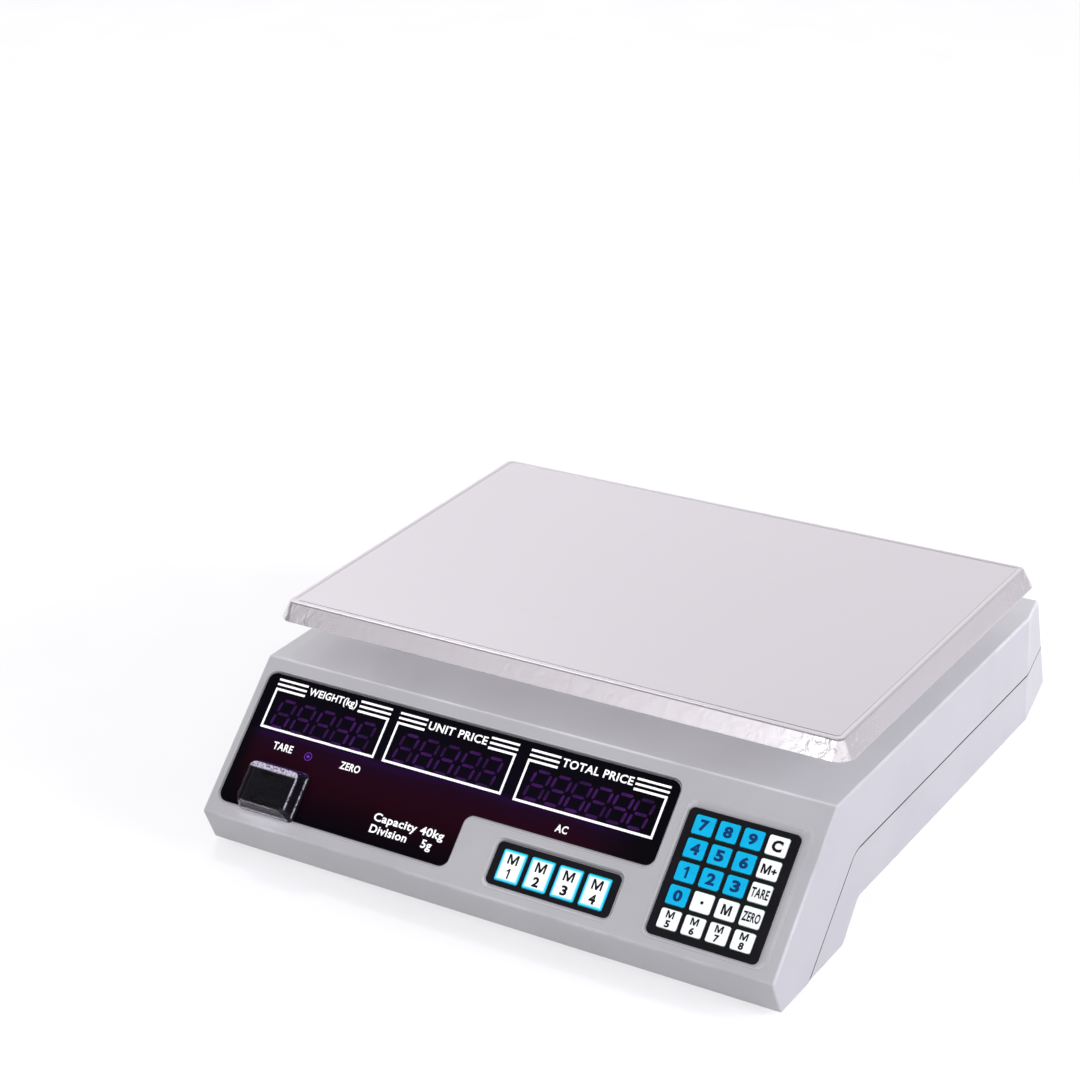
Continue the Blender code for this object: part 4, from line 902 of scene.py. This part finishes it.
# Customer display: a second window in the rear wall, so that the customer can read the same values.
# The same smoked acrylic and white print as in front, over a board with smaller readouts.
plate = layered(corners_of(CUSTOMER_WINDOW), PAD_RADIUS, PLATE_EDGE)
smoked_rear = patterned("smoked_acrylic_rear", {"IOR": 1.49, "Specular IOR Level": 0.06},
                        ("TexNoise", 30, {"Detail": 3}), [(0.35, "#07060A"), (0.7, "#12070F")], (0.05, 0.10))
piece("customer_lens", plate, smoked_rear, "housing", ["customer_window"], CUSTOMER_SIDE)
REAR_LOW, REAR_TOP, REAR_LINE, REAR_MARGIN, REAR_DIGITS_AT, REAR_WORDS_AT = 8.5, 25, 0.8, 3, 16.7, 27.4
prints, segments = [], []
for words, wide, count, left, right in (("WEIGHT(kg)", 20, 5, -90, -35), ("UNIT PRICE", 20, 5, -28, 27),
                                        ("TOTAL PRICE", 22, 6, 34, 90)):
    outline, inside = [
        ((left + by, REAR_LOW + by), (right - by, REAR_LOW + by), (right - by, REAR_TOP - by),
         (left + by, REAR_TOP - by)) for by in (0, REAR_LINE)]
    prints += [lettering(words, ((left + right) / 2, REAR_WORDS_AT), 3.0, wide, 0.03), hoop(outline, inside)]
    step = (right - left - 2 * REAR_MARGIN) / count
    for k in range(count):
        segments += digit((left + REAR_MARGIN + (k + 0.5) * step, REAR_DIGITS_AT), 5.2, 9.6, 0.8)
piece("customer_print", together(prints), white_ink, "housing", (), CUSTOMER_SIDE)
piece("customer_unlit_segments", together(segments), unlit, "housing", (), CUSTOMER_SIDE)

# Mains socket: a snap-in appliance inlet in the left wall, with three flat pins in a deep recess.
# The shroud is moulded black nylon, and the pins are nickel-plated brass.
INLET = face_frame((-170.1, 112, 36), (0, -1, 0), (0, 0, 1))
INLET_FLANGE = ((-15.5, -11.5), (15.5, 11.5))
flange = layered(corners_of(INLET_FLANGE), 2.5, ((0, -0.6), (0, -0.25), (-0.12, -0.08), (-0.3, 0)))
shroud = slab((-13.5, -9.5, -20.6), (13.5, 9.5, -0.3))
mouth = [Vector(point) for point in ((-12, -8), (12, -8), (12, 3.5), (7.5, 8), (-7.5, 8), (-12, 3.5))]
recess = layered(mouth, 0.8, ((-0.3, -17.6), (-0.3, -0.5), (0, -0.1), (0, 5)))
piece("inlet_shroud", worked(flange, plus(shroud), less(recess)), black_nylon, "housing",
      ["mains_inlet"], INLET)
nickel = patterned("nickel_plated_brass", {"Metallic": 1}, ("TexNoise", 2, {"Detail": 3}),
                   [(0.3, "#C8C2B4"), (0.7, "#DAD6CC")], (0.16, 0.30))
PIN_EDGE = ((0, -18), (0, -6.3), (-0.3, -5.7), (-0.5, -5.5))
for name, across, up in (("earth", 0, 3), ("live", 7, -1), ("neutral", -7, -1)):
    pin = layered(corners_of(((across - 1, up - 2), (across + 1, up + 2))), 0.4, PIN_EDGE)
    piece(f"inlet_pin_{name}", pin, nickel, "housing", (), INLET)

# Weighing pan: a folded stainless tray that lifts off, with its rim flared out and down all round.
# The corners are welded and polished, so they are brighter and uneven. The top is brushed along X with
# a fine satin finish: the lines are about 0.1 mm apart and are drawn at 0.8 mm.
steel, tree, shader = finish("brushed_stainless_steel", {"Metallic": 1})
spot = add(tree, "TexCoord")
long_lines = add(tree, "Mapping", {"Vector": spot.outputs["Object"],
                                   "Scale": (1 / 0.09, 1 / 0.0008, 1 / 0.0008)})
brushing = add(tree, "TexNoise", {"Vector": long_lines.outputs["Vector"], "Scale": 1, "Detail": 3})
hammer = add(tree, "TexNoise", {"Vector": spot.outputs["Object"], "Scale": 1 / 0.007, "Detail": 3,
                                "Distortion": 0.6})
axes = add(tree, "SeparateXYZ", {"Vector": spot.outputs["Object"]})
ends = []
for axis, half in (("X", 170.1), ("Y", 115)):
    away = add(tree, "Math", {0: axes.outputs[axis]}, operation="ABSOLUTE")
    ends.append(add(tree, "MapRange", {"Value": away.outputs["Value"], "From Min": (half - 46) / 1000,
                                       "From Max": (half - 2) / 1000}, interpolation_type="SMOOTHSTEP"))
corner = add(tree, "Math", {0: ends[0].outputs["Result"], 1: ends[1].outputs["Result"]}, operation="MULTIPLY")
below = add(tree, "MapRange", {"Value": axes.outputs["Z"], "From Min": -0.0008, "From Max": -0.0004,
                               "To Min": 1, "To Max": 0})
polished = add(tree, "Math", {0: corner.outputs["Value"], 1: below.outputs["Result"]}, operation="MULTIPLY")
uneven = add(tree, "Math", {0: below.outputs["Result"], 1: 0.16}, operation="MULTIPLY")
beaten = add(tree, "Math", {0: polished.outputs["Value"], 1: uneven.outputs["Value"]}, operation="MAXIMUM")
tone = add(tree, "ValToRGB", {"Fac": brushing.outputs["Fac"]}, [(0.3, "#E5E0E5"), (0.7, "#E8E3E8")])
satin = add(tree, "MapRange", {"Value": brushing.outputs["Fac"], "To Min": 0.36, "To Max": 0.42})
rolled = add(tree, "MapRange", {"Value": below.outputs["Result"], "To Min": 0.0, "To Max": -0.10})
eased = add(tree, "Math", {0: satin.outputs["Result"], 1: rolled.outputs["Result"]}, operation="ADD")
gloss = add(tree, "Mix", {"Factor": polished.outputs["Value"], 2: eased.outputs["Value"], 3: 0.16},
            data_type="FLOAT")
lines = add(tree, "Bump", {"Height": brushing.outputs["Fac"], "Strength": 0.03, "Distance": 0.0002})
dents = add(tree, "Bump", {"Height": hammer.outputs["Fac"], "Strength": beaten.outputs["Value"],
                           "Distance": 0.0006, "Normal": lines.outputs["Normal"]})
tree.links.new(tone.outputs["Color"], shader.inputs["Base Color"])
tree.links.new(gloss.outputs[0], shader.inputs["Roughness"])
tree.links.new(dents.outputs["Normal"], shader.inputs["Normal"])

PAN_HALF, PAN_TOP, FLARE, DROP, SHEET, BEND, BEND_STEPS = (164.8, 109.7), 111.5, 5.3, 9.8, 0.8, 1.6, 6
lean = math.atan2(DROP, FLARE)


def pan_ring(by, z, radius):
    return contour(corners_of(((-PAN_HALF[0], -PAN_HALF[1]), PAN_HALF)), radius - by, by, z, 8)


# Each ring's distance outside the bend, height and corner radius: first the shallow groove along the
# top's edge, then the bend, the hem of the rim, and the inner face back up to the top.
profile = [(-3.6, 0, 2.2), (-3.3, -0.22, 2.2), (-3.0, -0.22, 2.2), (-2.5, 0, 2.2)]
start = -BEND * math.tan(lean / 2)
for k in range(BEND_STEPS + 1):
    turn = lean * k / BEND_STEPS
    profile.append((start + BEND * math.sin(turn), -BEND * (1 - math.cos(turn)), 2.4 + 0.3 * k))
profile += [(FLARE - 0.10, -DROP + 0.35, 10), (FLARE - 0.15, -DROP + 0.08, 10), (FLARE - 0.35, -DROP, 9.8),
            (FLARE - 0.75, -DROP + 0.05, 9.4), (FLARE - 0.98, -DROP + 0.30, 9.2)]
for k in range(4):
    turn, inside = lean * (1 - k / 3), BEND - SHEET
    profile.append((start + inside * math.sin(turn), -BEND + inside * math.cos(turn), 2.2 + 0.4 * (3 - k)))
tray = lofted([pan_ring(by, z, radius) for by, z, radius in profile])
piece("stainless_pan", tray, steel, "pan", ["weighing_pan"],
      Matrix.Translation((0, PAN_Y / 1000, PAN_TOP / 1000)))

# Floor, light and camera: a pale seamless floor and a pale surround that is dimmer overhead, in front and
# at its right rear corner. A soft light on the right wall, a small one behind on the left, a low one in
# front for the pan's lip, and an overhead fill without shadows, so the deck under the pan stays pale.
paper = patterned("paper_floor_white", {"Roughness": 0.8, "Specular IOR Level": 0.2},
                  ("TexNoise", 80, {"Detail": 2}), [(0.3, "#D6D6D7"), (0.7, "#D8D8D9")])
sheet = bmesh.new()
bmesh.ops.create_grid(sheet, x_segments=4, y_segments=4, size=40)
mesh = bpy.data.meshes.new("floor")
sheet.to_mesh(mesh)
mesh.materials.append(paper)
floor = bpy.data.objects.new("floor", mesh)
bpy.context.scene.collection.objects.link(floor)

world = bpy.data.worlds.new("surround")
bpy.context.scene.world = world
world.use_nodes = True
tree = world.node_tree
way = add(tree, "TexCoord")
axes = add(tree, "SeparateXYZ", {"Vector": way.outputs["Generated"]})
sky = add(tree, "ValToRGB", {"Fac": axes.outputs["Z"]},
          [(0, "#F6F5F8"), (0.42, "#FFFEFF"), (0.60, "#ABAAAE"), (1, "#7E7D82")])
ahead = add(tree, "MapRange", {"Value": axes.outputs["Y"], "From Min": 0.1, "From Max": -0.4},
            interpolation_type="SMOOTHSTEP")
across = add(tree, "MapRange", {"Value": axes.outputs["X"], "From Min": -0.75, "From Max": -0.25, "To Min": 0.3,
                                "To Max": 0.95})
front = add(tree, "Mix", {"Factor": ahead.outputs["Result"], 2: 1.0, 3: across.outputs["Result"]},
            data_type="FLOAT")
RIGHT_REAR, SURROUND_LEVEL = (0.75, 0.66, 0.0), 1.24
behind = add(tree, "VectorMath", {0: way.outputs["Generated"], 1: RIGHT_REAR}, operation="DOT_PRODUCT")
corner = add(tree, "MapRange", {"Value": behind.outputs["Value"], "From Min": 0.55, "From Max": 0.95,
                                "To Min": 1.0, "To Max": 0.60}, interpolation_type="SMOOTHSTEP")
both = add(tree, "Math", {0: front.outputs[0], 1: corner.outputs["Result"]}, operation="MULTIPLY")
tree.links.new(sky.outputs["Color"], tree.nodes["Background"].inputs["Color"])
level = add(tree, "Math", {0: both.outputs["Value"], 1: SURROUND_LEVEL}, operation="MULTIPLY")
tree.links.new(level.outputs["Value"], tree.nodes["Background"].inputs["Strength"])
# Each light's name, kind, place, size and power, and whether it casts shadows. All point at one spot.
AIM = Vector((0, 0, 0.05))
for name, kind, place, size, power, shadow in (("side_light", "AREA", (1.6, 0.2, 0.5), 0.8, 21, True),
                                               ("crease_light", "AREA", (-1.3, 0.75, 2.1), 0.3, 7, True),
                                               ("lip_light", "AREA", (-0.53, -2.16, 0.91), 0.6, 1.7, True),
                                               ("fill_light", "SUN", (0, 0, 3), 0, 2.6, False)):
    lamp_data = bpy.data.lights.new(name, kind)
    lamp_data.energy, lamp_data.use_shadow = power, shadow
    lamp_data.color = linear("#F4F2FF" if name == "side_light" else "#FFFFFF")[:3]
    if size:
        lamp_data.size = size
    lamp_object = bpy.data.objects.new(name, lamp_data)
    bpy.context.scene.collection.objects.link(lamp_object)
    lamp_object.location = place
    lamp_object.rotation_euler = (AIM - Vector(place)).to_track_quat("-Z", "Y").to_euler()
    lamp_object.visible_glossy = name not in ("side_light", "fill_light")

CAMERA_AT, YAW, PITCH, ROLL = (0.65922, -1.09797, 0.72383), 33.305, 24.2725, 2.4144
camera_data = bpy.data.cameras.new("camera")
camera_data.sensor_width, camera_data.lens = 36, 89.16
camera_data.clip_start, camera_data.clip_end = 0.05, 60
camera = bpy.data.objects.new("camera", camera_data)
bpy.context.scene.collection.objects.link(camera)
camera.matrix_world = (Matrix.Translation(CAMERA_AT) @ Matrix.Rotation(math.radians(YAW), 4, "Z")
                       @ Matrix.Rotation(math.radians(90 - PITCH), 4, "X")
                       @ Matrix.Rotation(math.radians(-ROLL), 4, "Z"))
bpy.context.scene.camera = camera
bpy.context.scene.view_settings.view_transform = "Standard"
